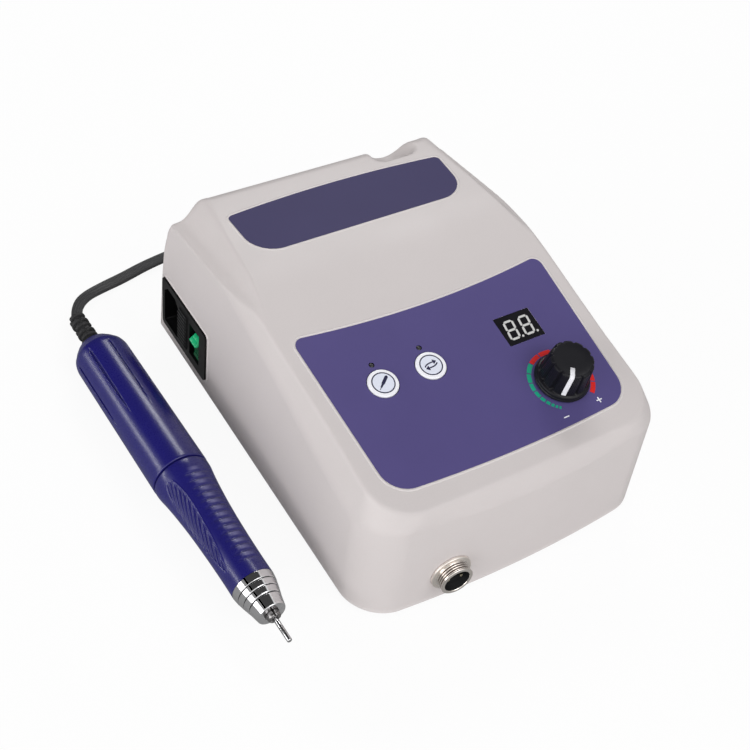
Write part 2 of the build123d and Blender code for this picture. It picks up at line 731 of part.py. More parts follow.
with BuildPart() as knob_pointer:
    turned(knob_axis, *knob_outline, (knob_height, 0), (knob_low, 0))
    extrude(slab(pointer.offset(knob_low + knob_skirt_height), knob_skirt_radius, pointer_width,
                 (pointer_start + knob_skirt_radius / 2, 0)), amount=knob_height, mode=Mode.INTERSECT)
finish(knob_pointer, "knob_pointer")


# ---------------------------------------------------------------- mains inlet
def on_wall(y, z, height=0.0):
    """A plane on the left wall at a place given by y and height above the case's lower edge."""
    return on_plane(left_wall, -y, z, height)


def inlet_blades(grow_out):
    """The three blades of the power socket, from inside the case out to their tips."""
    blade_low = -inlet_depth - blade_tail
    blade_top = inlet_flange_thick - cup_depth + cup_pin_length + grow_out
    cup = on_wall(cup_y, inlet_mid_z, blade_low)
    spots = [(blade_side, blade_rise), (blade_side, -blade_rise), (-blade_side, 0)]
    extrude(slab(cup, blade_size[0], blade_size[1], *spots), amount=blade_top - blade_low,
            mode=Mode.SUBTRACT if grow_out else Mode.ADD)


with BuildPart() as inlet_housing:
    extrude(slab(on_wall(inlet_mid_y, inlet_mid_z), inlet_width, inlet_height, corner=inlet_corner),
            amount=inlet_flange_thick)
    extrude(slab(on_wall(inlet_mid_y, inlet_mid_z), *inlet_body), amount=-inlet_depth)
    extrude(slab(on_wall(cup_y, inlet_mid_z, inlet_flange_thick), *cup_size), amount=-cup_depth,
            mode=Mode.SUBTRACT)
    extrude(slab(on_wall(drawer_y, inlet_mid_z, inlet_flange_thick), *drawer_size),
            amount=-drawer_depth - 1,
            mode=Mode.SUBTRACT)
    extrude(slab(on_wall(rocker_y, inlet_mid_z, inlet_flange_thick), *rocker_size), amount=-rocker_depth,
            mode=Mode.SUBTRACT)
    rocker_pivot = on_wall(rocker_y, inlet_mid_z, -rocker_sink)
    rocker_side = Plane(origin=rocker_pivot.origin, x_dir=left_wall.y_dir, z_dir=left_wall.x_dir)
    extrude(disc(rocker_side, trunnion_radius + run_gap),
            amount=rocker_size[0] / 2 + trunnion_length + fit_gap,
            both=True, mode=Mode.SUBTRACT)
    inlet_blades(1.0)
finish(inlet_housing, "inlet_housing")

with BuildPart() as inlet_pins:
    inlet_blades(0)
finish(inlet_pins, "inlet_pins")

drawer_block = (drawer_size[0] - 2 * slide_gap, drawer_size[1] - 2 * slide_gap)
fuse_level = inlet_flange_thick - drawer_depth / 2
with BuildPart() as fuse_drawer:
    extrude(slab(on_wall(drawer_y, inlet_mid_z, inlet_flange_thick + drawer_proud), *drawer_block),
            amount=-drawer_depth - drawer_proud)
    extrude(slab(on_wall(drawer_y, inlet_mid_z, fuse_level - fuse_radius - fit_gap), drawer_size[0],
                 fuse_length + 2 * fit_gap), amount=2 * (fuse_radius + fit_gap), mode=Mode.SUBTRACT)
    rib_spots = [(0, k * drawer_rib_pitch) for k in range(-4, 5)]
    extrude(slab(on_wall(drawer_y, inlet_mid_z, inlet_flange_thick + drawer_proud), drawer_block[0],
                 rib_height, *rib_spots),
            amount=0.6)
finish(fuse_drawer, "fuse_drawer")

with BuildPart() as fuse:
    fuse_place = on_wall(drawer_y, inlet_mid_z, fuse_level)
    fuse_axis = Plane(origin=fuse_place.origin, x_dir=left_wall.y_dir, z_dir=left_wall.x_dir)
    turned(fuse_axis, (-fuse_length / 2, 0), (-fuse_length / 2, fuse_radius), (fuse_length / 2,
                                                                               fuse_radius),
           (fuse_length / 2, 0))
finish(fuse, "fuse")

tilt = radians(rocker_tilt)
rocker_frame = Plane(origin=rocker_pivot.origin,
                     x_dir=left_wall.y_dir * cos(tilt) + left_wall.z_dir * sin(tilt), z_dir=left_wall.x_dir)
rocker_half = rocker_size[1] / 2 - rocker_gap
rocker_tip = rocker_half - 0.5  # the face is shorter, so that its ends clear the well as the rocker tips
rocker_face = rocker_sink + inlet_flange_thick + rocker_proud
with BuildPart() as power_rocker:
    with BuildSketch(rocker_frame):
        with BuildLine():
            Polyline((-rocker_tip, rocker_face + rocker_tip * tan(tilt)), (0, rocker_face),
                     (rocker_tip, rocker_face + rocker_tip * tan(tilt)), (rocker_half, -1.5),
                     (rocker_half / 3, -6.0), (-rocker_half / 3, -6.0), (-rocker_half, -1.5), close=True)
        make_face()
    extrude(amount=rocker_size[0] / 2 - rocker_gap, both=True)
    extrude(disc(rocker_frame, trunnion_radius), amount=rocker_size[0] / 2 + trunnion_length, both=True)
finish(power_rocker, "power_rocker")

# ---------------------------------------------------------------- handpiece socket on the front
port_axis = Plane(origin=port.origin, x_dir=port.z_dir, z_dir=port.x_dir)
with BuildPart() as socket_shell:
    turned(port_axis, (-socket_tail, socket_bore), (-socket_tail, socket_neck_radius), (0,
                                                                                        socket_neck_radius),
           (0, socket_flange_radius), (socket_flange_thick, socket_flange_radius),
           (socket_flange_thick, socket_thread_radius), (socket_proud, socket_thread_radius),
           (socket_proud, socket_bore))
finish(socket_shell, "socket_shell")

pin_spots = [(-socket_pin_side, 0), (socket_pin_side, 0)]
with BuildPart() as socket_insert:
    extrude(disc(port.offset(-socket_tail + 1), socket_bore - run_gap),
            amount=socket_tail - 1 + socket_floor)
    extrude(disc(port.offset(-socket_tail), socket_pin_radius, *pin_spots), amount=socket_tail,
            mode=Mode.SUBTRACT)
finish(socket_insert, "socket_insert")

with BuildPart() as socket_pins:
    extrude(disc(port.offset(-socket_tail - 2), socket_pin_radius, *pin_spots),
            amount=socket_tail + 2 + socket_pin_reach)
finish(socket_pins, "socket_pins")

with BuildPart() as socket_nut:
    with BuildSketch(port.offset(-case_wall - 0.2)):
        RegularPolygon(socket_flange_radius, 6)
        Circle(socket_neck_radius + run_gap, mode=Mode.SUBTRACT)
    extrude(amount=-socket_nut_thick)
finish(socket_nut, "socket_nut")

# ---------------------------------------------------------------- power supply on the base plate
core_front = Plane(origin=base.from_local_coords((core_middle[0], core_middle[1] - core_thick / 2,
                                                  base_thick)),
                   x_dir=(1, 0, 0), z_dir=(0, -1, 0))
window_x = core_limb * 1.5
with BuildPart() as transformer_core:
    extrude(slab(core_front, core_limb * 6, core_height, (0, core_height / 2)), amount=-core_thick)
    extrude(slab(core_front, core_limb, core_height - 2 * core_limb, (-window_x, core_height / 2),
                 (window_x, core_height / 2)), amount=-core_thick, mode=Mode.SUBTRACT)
finish(transformer_core, "transformer_core")

with BuildPart() as transformer_coil:
    coil_plane = base.offset(base_thick + core_limb + label_gap)
    coil_tall = core_height - 2 * core_limb - 2 * label_gap
    extrude(slab(coil_plane, 4 * core_limb - 2 * label_gap, core_thick + 2 * coil_overhang, core_middle),
            amount=coil_tall)
    extrude(slab(coil_plane, 2 * core_limb + 2 * label_gap, core_thick + 2 * label_gap, core_middle),
            amount=coil_tall, mode=Mode.SUBTRACT)
finish(transformer_coil, "transformer_coil")

clamp_in = core_limb * 3 + fit_gap
clamp_top = core_height + fit_gap
with BuildPart() as transformer_clamp:
    clamp_plane = on_plane(core_front, 0, 0, -core_thick / 2 + clamp_width / 2)
    with BuildSketch(clamp_plane):
        with BuildLine():
            Polyline((-clamp_in - clamp_foot, 0), (-clamp_in, 0), (-clamp_in, clamp_top), (clamp_in,
                                                                                           clamp_top),
                     (clamp_in, 0), (clamp_in + clamp_foot, 0), (clamp_in + clamp_foot, clamp_thick),
                     (clamp_in + clamp_thick, clamp_thick), (clamp_in + clamp_thick,
                                                             clamp_top + clamp_thick),
                     (-clamp_in - clamp_thick, clamp_top + clamp_thick), (-clamp_in - clamp_thick,
                                                                          clamp_thick),
                     (-clamp_in - clamp_foot, clamp_thick), close=True)
        make_face()
    extrude(amount=-clamp_width)
    extrude(disc(base.offset(base_thick), small_screw_radius + fit_gap, *clamp_screw_spots),
            amount=clamp_thick,
            mode=Mode.SUBTRACT)
finish(transformer_clamp, "transformer_clamp")

board_level = base_thick + power_board_lift
with BuildPart() as power_board:
    extrude(slab(base.offset(board_level), *power_board_size, power_board_middle), amount=board_thick)
    extrude(disc(base.offset(board_level), small_screw_radius + fit_gap, *power_board_spots),
            amount=board_thick,
            mode=Mode.SUBTRACT)
finish(power_board, "power_board")

with BuildPart() as heat_sink:
    sink_top = base.offset(board_level + board_thick)
    extrude(slab(sink_top, sink_size[0], sink_size[1], sink_middle), amount=sink_size[2])
    groove_spots = [(sink_middle[0] + k * sink_pitch, sink_middle[1]) for k in range(-3, 4)]
    extrude(slab(sink_top.offset(sink_floor), sink_pitch / 2, sink_size[1], *groove_spots),
            amount=sink_size[2],
            mode=Mode.SUBTRACT)
finish(heat_sink, "heat_sink")

with BuildPart() as capacitors:
    extrude(disc(base.offset(board_level + board_thick), capacitor_radius, *capacitor_spots),
            amount=capacitor_height)
    fillet(capacitors.edges().filter_by(GeomType.CIRCLE).group_by(Axis.Z)[-1], 1.2)
finish(capacitors, "capacitors")


def small_screws_on(plane, up, grip, *spots):
    """Small pan-head screws whose heads stand up from a plane and whose threads go down through it."""
    way = 1 if up else -1
    extrude(disc(plane, small_head_radius, *spots), amount=way * small_head_height)
    extrude(disc(plane, small_screw_radius, *spots), amount=-way * grip)


with BuildPart() as small_screws:
    small_screws_on(base.offset(base_thick + clamp_thick), True, clamp_thick + base_thick,
                    *clamp_screw_spots)
    small_screws_on(base.offset(board_level + board_thick), True, board_thick + power_board_lift - 2,
                    *power_board_spots)
    small_screws_on(panel.offset(-board_low), False, board_thick + small_screw_length - 1, *board_spots)
finish(small_screws, "small_screws")


# ---------------------------------------------------------------- handpiece
def hand_across(along):
    """A plane square to the handpiece's axis at a place along it."""
    return Plane(origin=hand.from_local_coords((along, 0, 0)), x_dir=hand.z_dir, z_dir=hand.x_dir)


hand_bore = hand_radius - hand_wall
tail_bore = boot_radius - boot_lip + fit_gap
with BuildPart() as rear_housing:
    with BuildSketch(hand):
        with BuildLine():
            tail_edge = hand_radius - sqrt(hand_radius**2 - tail_bore**2)
            tail_middle = (hand_radius * (1 - cos(radians(50))), hand_radius * sin(radians(50)))
            ThreePointArc((tail_edge, tail_bore), tail_middle, (hand_radius, hand_radius))
            Polyline((hand_radius, hand_radius), (seam_along, hand_radius), (seam_along, hand_bore),
                     (hand_radius + 6, hand_bore), (hand_radius - 2, hand_bore - 2), (tail_depth,
                                                                                      tail_bore),
                     (tail_edge, tail_bore))
        make_face()
    revolve(axis=Axis(hand.origin, hand.x_dir))
finish(rear_housing, "rear_housing")

with BuildPart() as tail_boot:
    rib_pitch = boot_length / boot_ribs
    rib_profile = []
    for rib in range(boot_ribs):
        rib_start = -boot_length + rib * rib_pitch
        rib_profile += [(rib_start, boot_radius), (rib_start + 0.6 * rib_pitch, boot_radius),
                        (rib_start + 0.7 * rib_pitch, boot_radius - boot_lip / 2),
                        (rib_start + 0.9 * rib_pitch, boot_radius - boot_lip / 2)]
    turned(hand, (-boot_length, 0), *rib_profile, (0.2, boot_radius - boot_lip), (tail_depth,
                                                                                  boot_radius - boot_lip),
           (tail_depth, 0))
finish(tail_boot, "tail_boot")

can_start, can_end = can_span
with BuildPart() as motor_can:
    turned(hand, (can_start, bearing_radius + fit_gap), (can_start, can_radius), (can_end, can_radius),
           (can_end, bearing_radius + fit_gap), (can_end - bearing_width, bearing_radius + fit_gap),
           (can_end - bearing_width, can_radius - can_wall), (can_start + bearing_width,
                                                              can_radius - can_wall),
           (can_start + bearing_width, bearing_radius + fit_gap))
finish(motor_can, "motor_can")

with BuildPart() as motor_bearings:
    for bearing_start in (can_start, can_end - bearing_width):
        ring(hand, bearing_radius, shaft_radius + run_gap, bearing_start, bearing_start + bearing_width)
finish(motor_bearings, "motor_bearings")

with BuildPart() as motor_magnets:
    ring(hand, can_radius - can_wall - fit_gap, armature_radius + air_gap, armature_span[0] - 2,
         armature_span[1] + 2)
    extrude(slab(hand_across(armature_span[0] - 2), magnet_gap, 2 * can_radius),
            amount=armature_span[1] - armature_span[0] + 4, mode=Mode.SUBTRACT)
finish(motor_magnets, "motor_magnets")

with BuildPart() as armature:
    ring(hand, armature_radius, shaft_radius + hold_gap, *armature_span)
finish(armature, "armature")

with BuildPart() as commutator:
    ring(hand, commutator_radius, shaft_radius + hold_gap, *commutator_span)
finish(commutator, "commutator")

brush_start = commutator_radius + air_gap
with BuildPart() as carbon_brushes:
    for brush_way in (-1, 1):
        brush_mid = (commutator_span[0] + commutator_span[1]) / 2
        brush_foot = Plane(origin=hand.from_local_coords((brush_mid, brush_way * brush_start, 0)),
                           x_dir=hand.x_dir, z_dir=hand.y_dir * brush_way)
        extrude(slab(brush_foot, brush_size[0], brush_size[1]),
                amount=can_radius - can_wall - fit_gap - brush_start - 0.3)
finish(carbon_brushes, "carbon_brushes")

with BuildPart() as rotor_shaft:
    turned(hand, (can_start - 4, 0), (can_start - 4, shaft_radius), (shaft_end, shaft_radius),
           (shaft_end, 0))
finish(rotor_shaft, "rotor_shaft")

with BuildPart() as drive_coupling:
    turned(hand, (shaft_end - coupling_grip, shaft_radius + hold_gap), (shaft_end - coupling_grip,
                                                                        coupling_radius),
           (shaft_end + coupling_grip, coupling_radius), (shaft_end + coupling_grip,
                                                          spindle_radius + hold_gap),
           (shaft_end + hold_gap, spindle_radius + hold_gap), (shaft_end + hold_gap,
                                                               shaft_radius + hold_gap))
finish(drive_coupling, "drive_coupling")

sleeve_bore = sleeve_radius - sleeve_wall
with BuildPart() as spindle_sleeve:
    turned(hand, (can_end + fit_gap, sleeve_bore), (can_end + fit_gap, hand_bore - fit_gap),
           (seam_along, hand_bore - fit_gap), (seam_along, sleeve_radius), (grip_end - 2, sleeve_radius),
           (grip_end - 2, sleeve_bore))
finish(spindle_sleeve, "spindle_sleeve")

with BuildPart() as spindle_bearings:
    for bearing_start in spindle_bearing_spots:
        ring(hand, sleeve_bore - run_gap, spindle_radius + run_gap, bearing_start,
             bearing_start + bearing_width)
finish(spindle_bearings, "spindle_bearings")

with BuildPart() as spindle:
    turned(hand, (shaft_end + 2 * hold_gap, 0), (shaft_end + 2 * hold_gap, spindle_radius),
           (collet_start, spindle_radius), (collet_start, shank_radius + hold_gap),
           (shank_start - 1, shank_radius + hold_gap), (shank_start - 1, 0))
finish(spindle, "spindle")

with BuildPart() as collet:
    ring(hand, collet_radius, shank_radius + hold_gap, collet_start, collet_end)
    with BuildSketch(hand_across(collet_end - collet_slot_length)):
        for slot_turn in (0, 60, 120):
            Rectangle(collet_slot, 3 * collet_radius, rotation=slot_turn)
    extrude(amount=2 * collet_slot_length, mode=Mode.SUBTRACT)
finish(collet, "collet")

with BuildPart() as bur:
    turned(hand, (shank_start, 0), (shank_start, shank_radius), (tip_along, shank_radius), (tip_along, 0))
finish(bur, "bur")

grip_start = seam_along + seam_gap
grip_length = grip_end - grip_start
grip_bore = sleeve_radius + run_gap
grip_profile = [(grip_start + share * grip_length,
                 grip_end_radius + (hand_radius - grip_end_radius) * swell)
                for share, swell in ((0, 1), (0.06, 0.94), (0.2, 0.66), (0.4, 0.38), (0.62, 0.17),
                                     (0.82, 0.05), (1, 0))]
with BuildPart() as grip_sleeve:
    turned(hand, *grip_profile, (grip_end, grip_bore), (grip_start, grip_bore))
finish(grip_sleeve, "grip_sleeve")

nose_length = nose_end - grip_end
nose_profile = []
for step in range(nose_steps):
    step_start = grip_end + step * nose_length / nose_steps
    step_radius = grip_end_radius + step * (nose_end_radius - grip_end_radius) / nose_steps
    step_fall = (grip_end_radius - nose_end_radius) / nose_steps
    nose_profile += [(step_start, step_radius), (step_start + nose_length / nose_steps - 0.3,
                                                 step_radius - 0.7 * step_fall)]
with BuildPart() as nose_cone:
    turned(hand, (grip_end, nose_bore + 1.5), *nose_profile, (nose_end, nose_end_radius), (nose_end,
                                                                                           nose_bore),
           (grip_end + 2, nose_bore), (grip_end + 2, nose_bore + 1.5))
finish(nose_cone, "nose_cone")

# ---------------------------------------------------------------- cord, coil and plug
cord_radius = cord_width / 2
boot_heart = hand.from_local_coords((-8.0, 0, 0))
boot_mouth = hand.from_local_coords((-boot_length + 0.3, -0.5, 0))
cord_lead_route = [
    tuple(boot_heart), tuple(boot_mouth), (-90.3, 127.5, 10.6), (-82.6, 138.0, 6.2), (-70.6, 144.1, 4.0),
    (-56.6, 147.4, 3.7), (-42.6, 151.2, 3.7), (-27.1, 152.6, 3.7), (-9.1, 156.5, 3.7), (14.9, 165.0, 3.7),
    (40.9, 173.5, 3.7), (64.9, 177.8, 3.9), (89.7, 178.8, 4.3),
]
cord_tail_route = [
    (103.0, 134.5, 4.9), (92.5, 128.2, 10.6), (77.7, 126.0, 13.2), (63.0, 126.6, 13.2), (52.0, 127.0, 9.9),
    (42.0, 127.1, 9.6),
]


def bend_radii(route):
    """The largest radius that each corner's two runs allow, 0.45 of the shorter run over tan(half the turn)."""
    radii = []
    for start, corner, end in zip(route, route[1:], route[2:]):
        before = Vector(corner) - Vector(start)
        after = Vector(end) - Vector(corner)
        half_turn = radians(before.get_angle(after)) / 2
        radii.append(0.45 * min(before.length, after.length) / tan(half_turn))
    return radii


def cord_tube(route):
    """A round tube along straight runs that tangent arcs join."""
    radii = bend_radii(route)
    print("bend radii", [round(radius, 1) for radius in radii])
    with BuildPart() as tube:
        with BuildLine() as path:
            FilletPolyline(*route, radius=radii)
        with BuildSketch(Plane(origin=route[0], z_dir=Vector(route[1]) - Vector(route[0]))):
            Circle(cord_radius)
        sweep()
    length = sum(edge.length for edge in path.edges())
    print("tube length", round(length, 1), "volume ratio",
          round(tube.part.volume / (pi * cord_radius**2 * length), 4))
    return tube.part


with BuildPart() as cord_lead:
    add(cord_tube(cord_lead_route))
finish(cord_lead, "cord_lead")

coil_low = tie_thick + 0.1
with BuildPart() as cord_coil:
    with BuildSketch(Plane.XY.offset(coil_low)):
        with Locations(coil_middle):
            Circle(coil_outer)
            Circle(coil_inner, mode=Mode.SUBTRACT)
    extrude(amount=coil_height)
finish(cord_coil, "cord_coil")

with BuildPart() as coil_tie:
    tie_in = sqrt(coil_inner**2 - (tie_width / 2) ** 2) - 0.1
    tie_out = coil_outer + 0.1
    tie_plane = Plane(origin=(coil_middle[0] + (tie_in + tie_out) / 2, coil_middle[1] - tie_width / 2,
                              coil_low + coil_height / 2), x_dir=(1, 0, 0), z_dir=(0, -1, 0))
    tie_span = tie_out - tie_in
    extrude(slab(tie_plane, tie_span + 2 * tie_thick, coil_height + 2 * tie_thick + 0.2), amount=-tie_width)
    extrude(slab(tie_plane, tie_span, coil_height + 0.2), amount=-tie_width, mode=Mode.SUBTRACT)
finish(coil_tie, "coil_tie")

with BuildPart() as cord_tail:
    add(cord_tube(cord_tail_route))
finish(cord_tail, "cord_tail")

plug = Plane(origin=cord_tail_route[-1], x_dir=(-1, 0, 0), z_dir=(0, 1, 0))
plug_barrel = plug_ring_radius - plug_ring_wall - 0.8
with BuildPart() as cord_plug:
    turned(plug, (0, 0), (0, cord_radius + 0.5), (plug_relief, cord_radius + 2.5), (plug_relief + 1,
                                                                                    plug_grip_radius),
           (plug_ring_start - 1, plug_grip_radius), (plug_ring_start - 1, plug_barrel), (plug_length,
                                                                                         plug_barrel),
           (plug_length, plug_mouth_radius), (plug_length - plug_mouth_depth, plug_mouth_radius),
           (plug_length - plug_mouth_depth, 0))
finish(cord_plug, "cord_plug")

with BuildPart() as plug_ring:
    turned(plug, (plug_ring_start, plug_barrel + run_gap), (plug_ring_start, plug_ring_radius),
           (plug_length + 2, plug_ring_radius), (plug_length + 2, plug_ring_radius - plug_ring_wall),
           (plug_ring_start + 3, plug_ring_radius - plug_ring_wall), (plug_ring_start + 3,
                                                                      plug_barrel + run_gap))
finish(plug_ring, "plug_ring")
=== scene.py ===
# %% [markdown]
# # A bench micromotor unit: control box, straight handpiece and cord
#
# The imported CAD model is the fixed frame. Each cell below dresses one part of it: first the case,
# its labels and its controls, then the handpiece with its cord, and last the two sockets. The
# frame is in metres, +Z is up and the user sits toward -Y. Sizes are written in millimetres and
# turned to metres as a piece is made.

# %% Load the frame
import json
from math import cos, pi, radians, sin, tan

import bmesh
import bpy
import numpy as np
from mathutils import Matrix, Vector

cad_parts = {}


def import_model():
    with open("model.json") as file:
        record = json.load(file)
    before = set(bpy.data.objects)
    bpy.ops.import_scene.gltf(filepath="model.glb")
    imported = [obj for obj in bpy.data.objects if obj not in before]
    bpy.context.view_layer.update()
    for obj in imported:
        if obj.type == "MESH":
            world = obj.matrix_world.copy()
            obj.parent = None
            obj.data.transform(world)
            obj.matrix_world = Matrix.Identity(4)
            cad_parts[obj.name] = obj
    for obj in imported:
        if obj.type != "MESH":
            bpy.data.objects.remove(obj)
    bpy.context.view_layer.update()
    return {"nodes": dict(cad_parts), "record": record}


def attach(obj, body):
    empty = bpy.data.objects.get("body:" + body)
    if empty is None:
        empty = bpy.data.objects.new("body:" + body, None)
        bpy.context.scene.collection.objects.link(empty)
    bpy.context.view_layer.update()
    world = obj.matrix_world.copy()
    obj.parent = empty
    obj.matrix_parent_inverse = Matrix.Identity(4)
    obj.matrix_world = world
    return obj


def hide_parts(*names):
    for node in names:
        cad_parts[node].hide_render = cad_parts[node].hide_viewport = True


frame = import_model()
nodes = frame["nodes"]

# %% [markdown]
# ## The camera
# The view is from the front left and well above, with a slight roll. The three directions of the
# camera are written down as a matrix, which is plainer than three angles when there is a roll.

# %% Camera
MM = 0.001
eye = Vector((-236.26, -336.05, 461.03)) * MM
look_right = (0.85203, -0.51469, 0.09561)
look_up = (0.31547, 0.65056, 0.69083)
look_back = (-0.41777, -0.55844, 0.71667)
camera_data = bpy.data.cameras.new("camera")
camera_data.lens = 58.32
camera_data.sensor_width = 36
camera_data.clip_start = 0.01
camera = bpy.data.objects.new("camera", camera_data)
camera.matrix_world = (Matrix.Translation(eye)
                       @ Matrix((look_right, look_up, look_back)).transposed().to_4x4())
bpy.context.scene.collection.objects.link(camera)
bpy.context.scene.camera = camera
print("camera at", [round(value, 3) for value in eye])

# %% [markdown]
# ## Helpers that make a mesh from arrays
# Every new piece is a grid of points: rows along one parameter, columns along the other. One
# function turns such a grid into a mesh, closed round the columns if it is a tube or a turned
# shape.


# %% Surfaces from grids
def put(mesh, name):
    """An object for a mesh, at the origin, in the scene."""
    piece = bpy.data.objects.new(name, mesh)
    bpy.context.scene.collection.objects.link(piece)
    return piece


def grid_faces(rows, columns, wrap_columns=False):
    """Corner numbers of the quads between neighbouring rows and columns of a grid."""
    row = np.arange(rows - 1)
    column = np.arange(columns if wrap_columns else columns - 1)
    row, column = np.meshgrid(row, column, indexing="ij")
    next_column = (column + 1) % columns
    corners = [row * columns + column, row * columns + next_column,
               (row + 1) * columns + next_column, (row + 1) * columns + column]
    return np.stack(corners, axis=-1).reshape(-1, 4)


def mesh_of(name, points, faces, smooth=True):
    """A mesh from an array of points and an array of quads."""
    mesh = bpy.data.meshes.new(name)
    mesh.vertices.add(len(points))
    mesh.vertices.foreach_set("co", np.asarray(points, dtype=np.float32).ravel())
    mesh.loops.add(faces.size)
    mesh.loops.foreach_set("vertex_index", np.asarray(faces, dtype=np.int32).ravel())
    mesh.polygons.add(len(faces))
    starts = np.arange(len(faces), dtype=np.int32) * faces.shape[1]
    mesh.polygons.foreach_set("loop_start", starts)
    mesh.polygons.foreach_set("use_smooth", np.full(len(faces), smooth))
    mesh.update(calc_edges=True)
    mesh.validate()
    return mesh


def close_seams(mesh, reach=1e-6):
    """Merge doubled points, as at a pole, and turn every face outward."""
    work = bmesh.new()
    work.from_mesh(mesh)
    bmesh.ops.remove_doubles(work, verts=work.verts, dist=reach)
    bmesh.ops.recalc_face_normals(work, faces=work.faces)
    work.to_mesh(mesh)
    work.free()


def grid_piece(name, grid, wrap_columns=False):
    """A piece from a (rows, columns, 3) array of points."""
    rows, columns = grid.shape[:2]
    faces = grid_faces(rows, columns, wrap_columns)
    mesh = mesh_of(name, grid.reshape(-1, 3), faces)
    close_seams(mesh)
    return put(mesh, name)


print("a grid of 3 by 4 points has", len(grid_faces(3, 4)), "faces")

# %% [markdown]
# ## Materials written as sums
# Patterns that change over a surface are written as Python expressions, which read better than
# long lists of nodes: a small class wraps a socket, and each operator adds one Math node.


# %% Sockets that add up like numbers
class Wire:
    """One output of a shader node, which can be added and scaled like a number."""

    def __init__(self, graph, socket):
        self.graph = graph
        self.socket = socket

    def math(self, operation, *values):
        """A Math node on the values that are given."""
        return self.graph.node("ShaderNodeMath", {"operation": operation}, dict(enumerate(values)))

    def __add__(self, other):
        return self.math("ADD", self, other)

    def __sub__(self, other):
        return self.math("SUBTRACT", self, other)

    def __mul__(self, other):
        return self.math("MULTIPLY", self, other)

    def __neg__(self):
        return self.math("MULTIPLY", self, -1.0)

    def __abs__(self):
        return self.math("ABSOLUTE", self)

    def __rsub__(self, other):
        return self.math("SUBTRACT", other, self)

    __radd__ = __add__
    __rmul__ = __mul__

    def clamp(self):
        """The value, kept between 0 and 1."""
        return self.graph.node("ShaderNodeClamp", {}, {0: self})

    def wave(self, kind="SINE"):
        """The sine or the cosine of the value, in radians."""
        return self.math(kind, self)

    def above(self, edge, slope):
        """A step from 0 to 1 that starts at an edge and rises by slope in each unit."""
        return ((self - edge) * slope).clamp()

    def below(self, edge, slope):
        """The same step for values under the edge."""
        return ((edge - self) * slope).clamp()


print("sockets ready")

# %% [markdown]
# A second class holds the tree of nodes, so that the world's light is written in the same way as a
# finish. Any node that isn't a Math node comes from its one method.


# %% Trees of nodes
class Graph:
    """A tree of shader nodes, with a short call for each kind of node that is used here."""

    def __init__(self, tree):
        self.tree = tree

    def node(self, kind, settings, values, output=0):
        """Any node: its settings are set first, then the values or links of its sockets."""
        node = self.tree.nodes.new(kind)
        for key, value in settings.items():
            setattr(node, key, value)
        for key, value in values.items():
            if isinstance(value, Wire):
                self.tree.links.new(value.socket, node.inputs[key])
            else:
                node.inputs[key].default_value = value
        return Wire(self, node.outputs[output])

    def place(self, kind="Object"):
        """The piece's own coordinates, in metres."""
        return self.node("ShaderNodeTexCoord", {}, {}, kind)

    def stretched(self, place, scale):
        """Coordinates stretched by a scale on each axis."""
        return self.node("ShaderNodeMapping", {}, {"Vector": place, "Scale": scale})

    def noise(self, place, size, detail=3.0):
        """Smooth noise from 0 to 1 whose blobs are about size metres across."""
        values = {"Vector": place, "Scale": 1 / size, "Detail": detail}
        return self.node("ShaderNodeTexNoise", {}, values, "Fac")

    def split(self, place):
        """The x, y and z of a vector."""
        node = self.tree.nodes.new("ShaderNodeSeparateXYZ")
        self.tree.links.new(place.socket, node.inputs[0])
        return [Wire(self, socket) for socket in node.outputs]

    def from_spot(self, spot=(0, 0, 0)):
        """Millimetres from a spot along x, y and z, for a pattern that follows a piece's sizes."""
        return [(wire - float(at)) * (1 / MM) for wire, at in zip(self.split(self.place()), spot)]

    def mix(self, factor, low, high):
        """Between two colours, each three numbers or a wire."""
        low, high = ((*value, 1) if isinstance(value, tuple) else value for value in (low, high))
        return self.node("ShaderNodeMix", {"data_type": "RGBA"}, {0: factor, 6: low, 7: high}, 2)


print("trees ready")

# %% [markdown]
# A finish is a Principled shader with a colour. Nearly every finish here mixes two shades by slow
# clouds and a fine speck, so that step is a method. Helpers give a piece its finish and its body.


# %% Finishes
class Finish(Graph):
    """A material with one Principled shader. Fixed values go straight onto its sockets."""

    def __init__(self, name, color=(0.8, 0.8, 0.8), **fixed):
        self.material = bpy.data.materials.new(name)
        self.material.use_nodes = True
        super().__init__(self.material.node_tree)
        self.shader = self.tree.nodes["Principled BSDF"]
        self.shader.inputs["Base Color"].default_value = (*color, 1)
        for key, value in fixed.items():
            socket = key.replace("_", " ").title().replace("Ior", "IOR")
            self.shader.inputs[socket].default_value = value

    def feed(self, socket, wire):
        """Let a wire drive a socket of the shader."""
        self.tree.links.new(wire.socket, self.shader.inputs[socket])
        return self

    def bump(self, height, depth):
        """Raise the surface by a height from 0 to 1, depth metres high."""
        values = {"Height": height, "Distance": depth, "Strength": 1.0}
        return self.feed("Normal", self.node("ShaderNodeBump", {}, values))

    def mottled(self, color, slow, fine, low, high, share=0.6, detail=2.0):
        """A colour between two of its shades, by slow clouds and a fine speck. Gives both."""
        place = self.place()
        speck = self.noise(place, fine, detail)
        clouds = self.noise(place, slow) * share + speck * (1 - share)
        return self.mix(clouds, shades(color, low), shades(color, high)), speck


def shades(color, factor):
    """A colour made lighter or darker."""
    return tuple(min(1.0, channel * factor) for channel in color)


def wear(piece, finish):
    """Give a piece one finish only."""
    piece.data.materials.clear()
    piece.data.materials.append(finish.material)
    return piece


def settle(piece, body, slot, *stands_for):
    """Say which body a piece rides on and the CAD nodes that it stands for. The slot is not used.
    """
    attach(piece, body)
    if stands_for:
        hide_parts(*stands_for)
    return piece


print("darkest and palest of a mid grey", shades((0.5,) * 3, 0.94), shades((0.5,) * 3, 1.05))

# %% [markdown]
# Most of the unit is moulded plastic. A spark-eroded mould leaves a fine grain on it. A picture of
# such a grain would repeat and blur, so a small noise gives it, both as a speck of colour and as a
# bump.


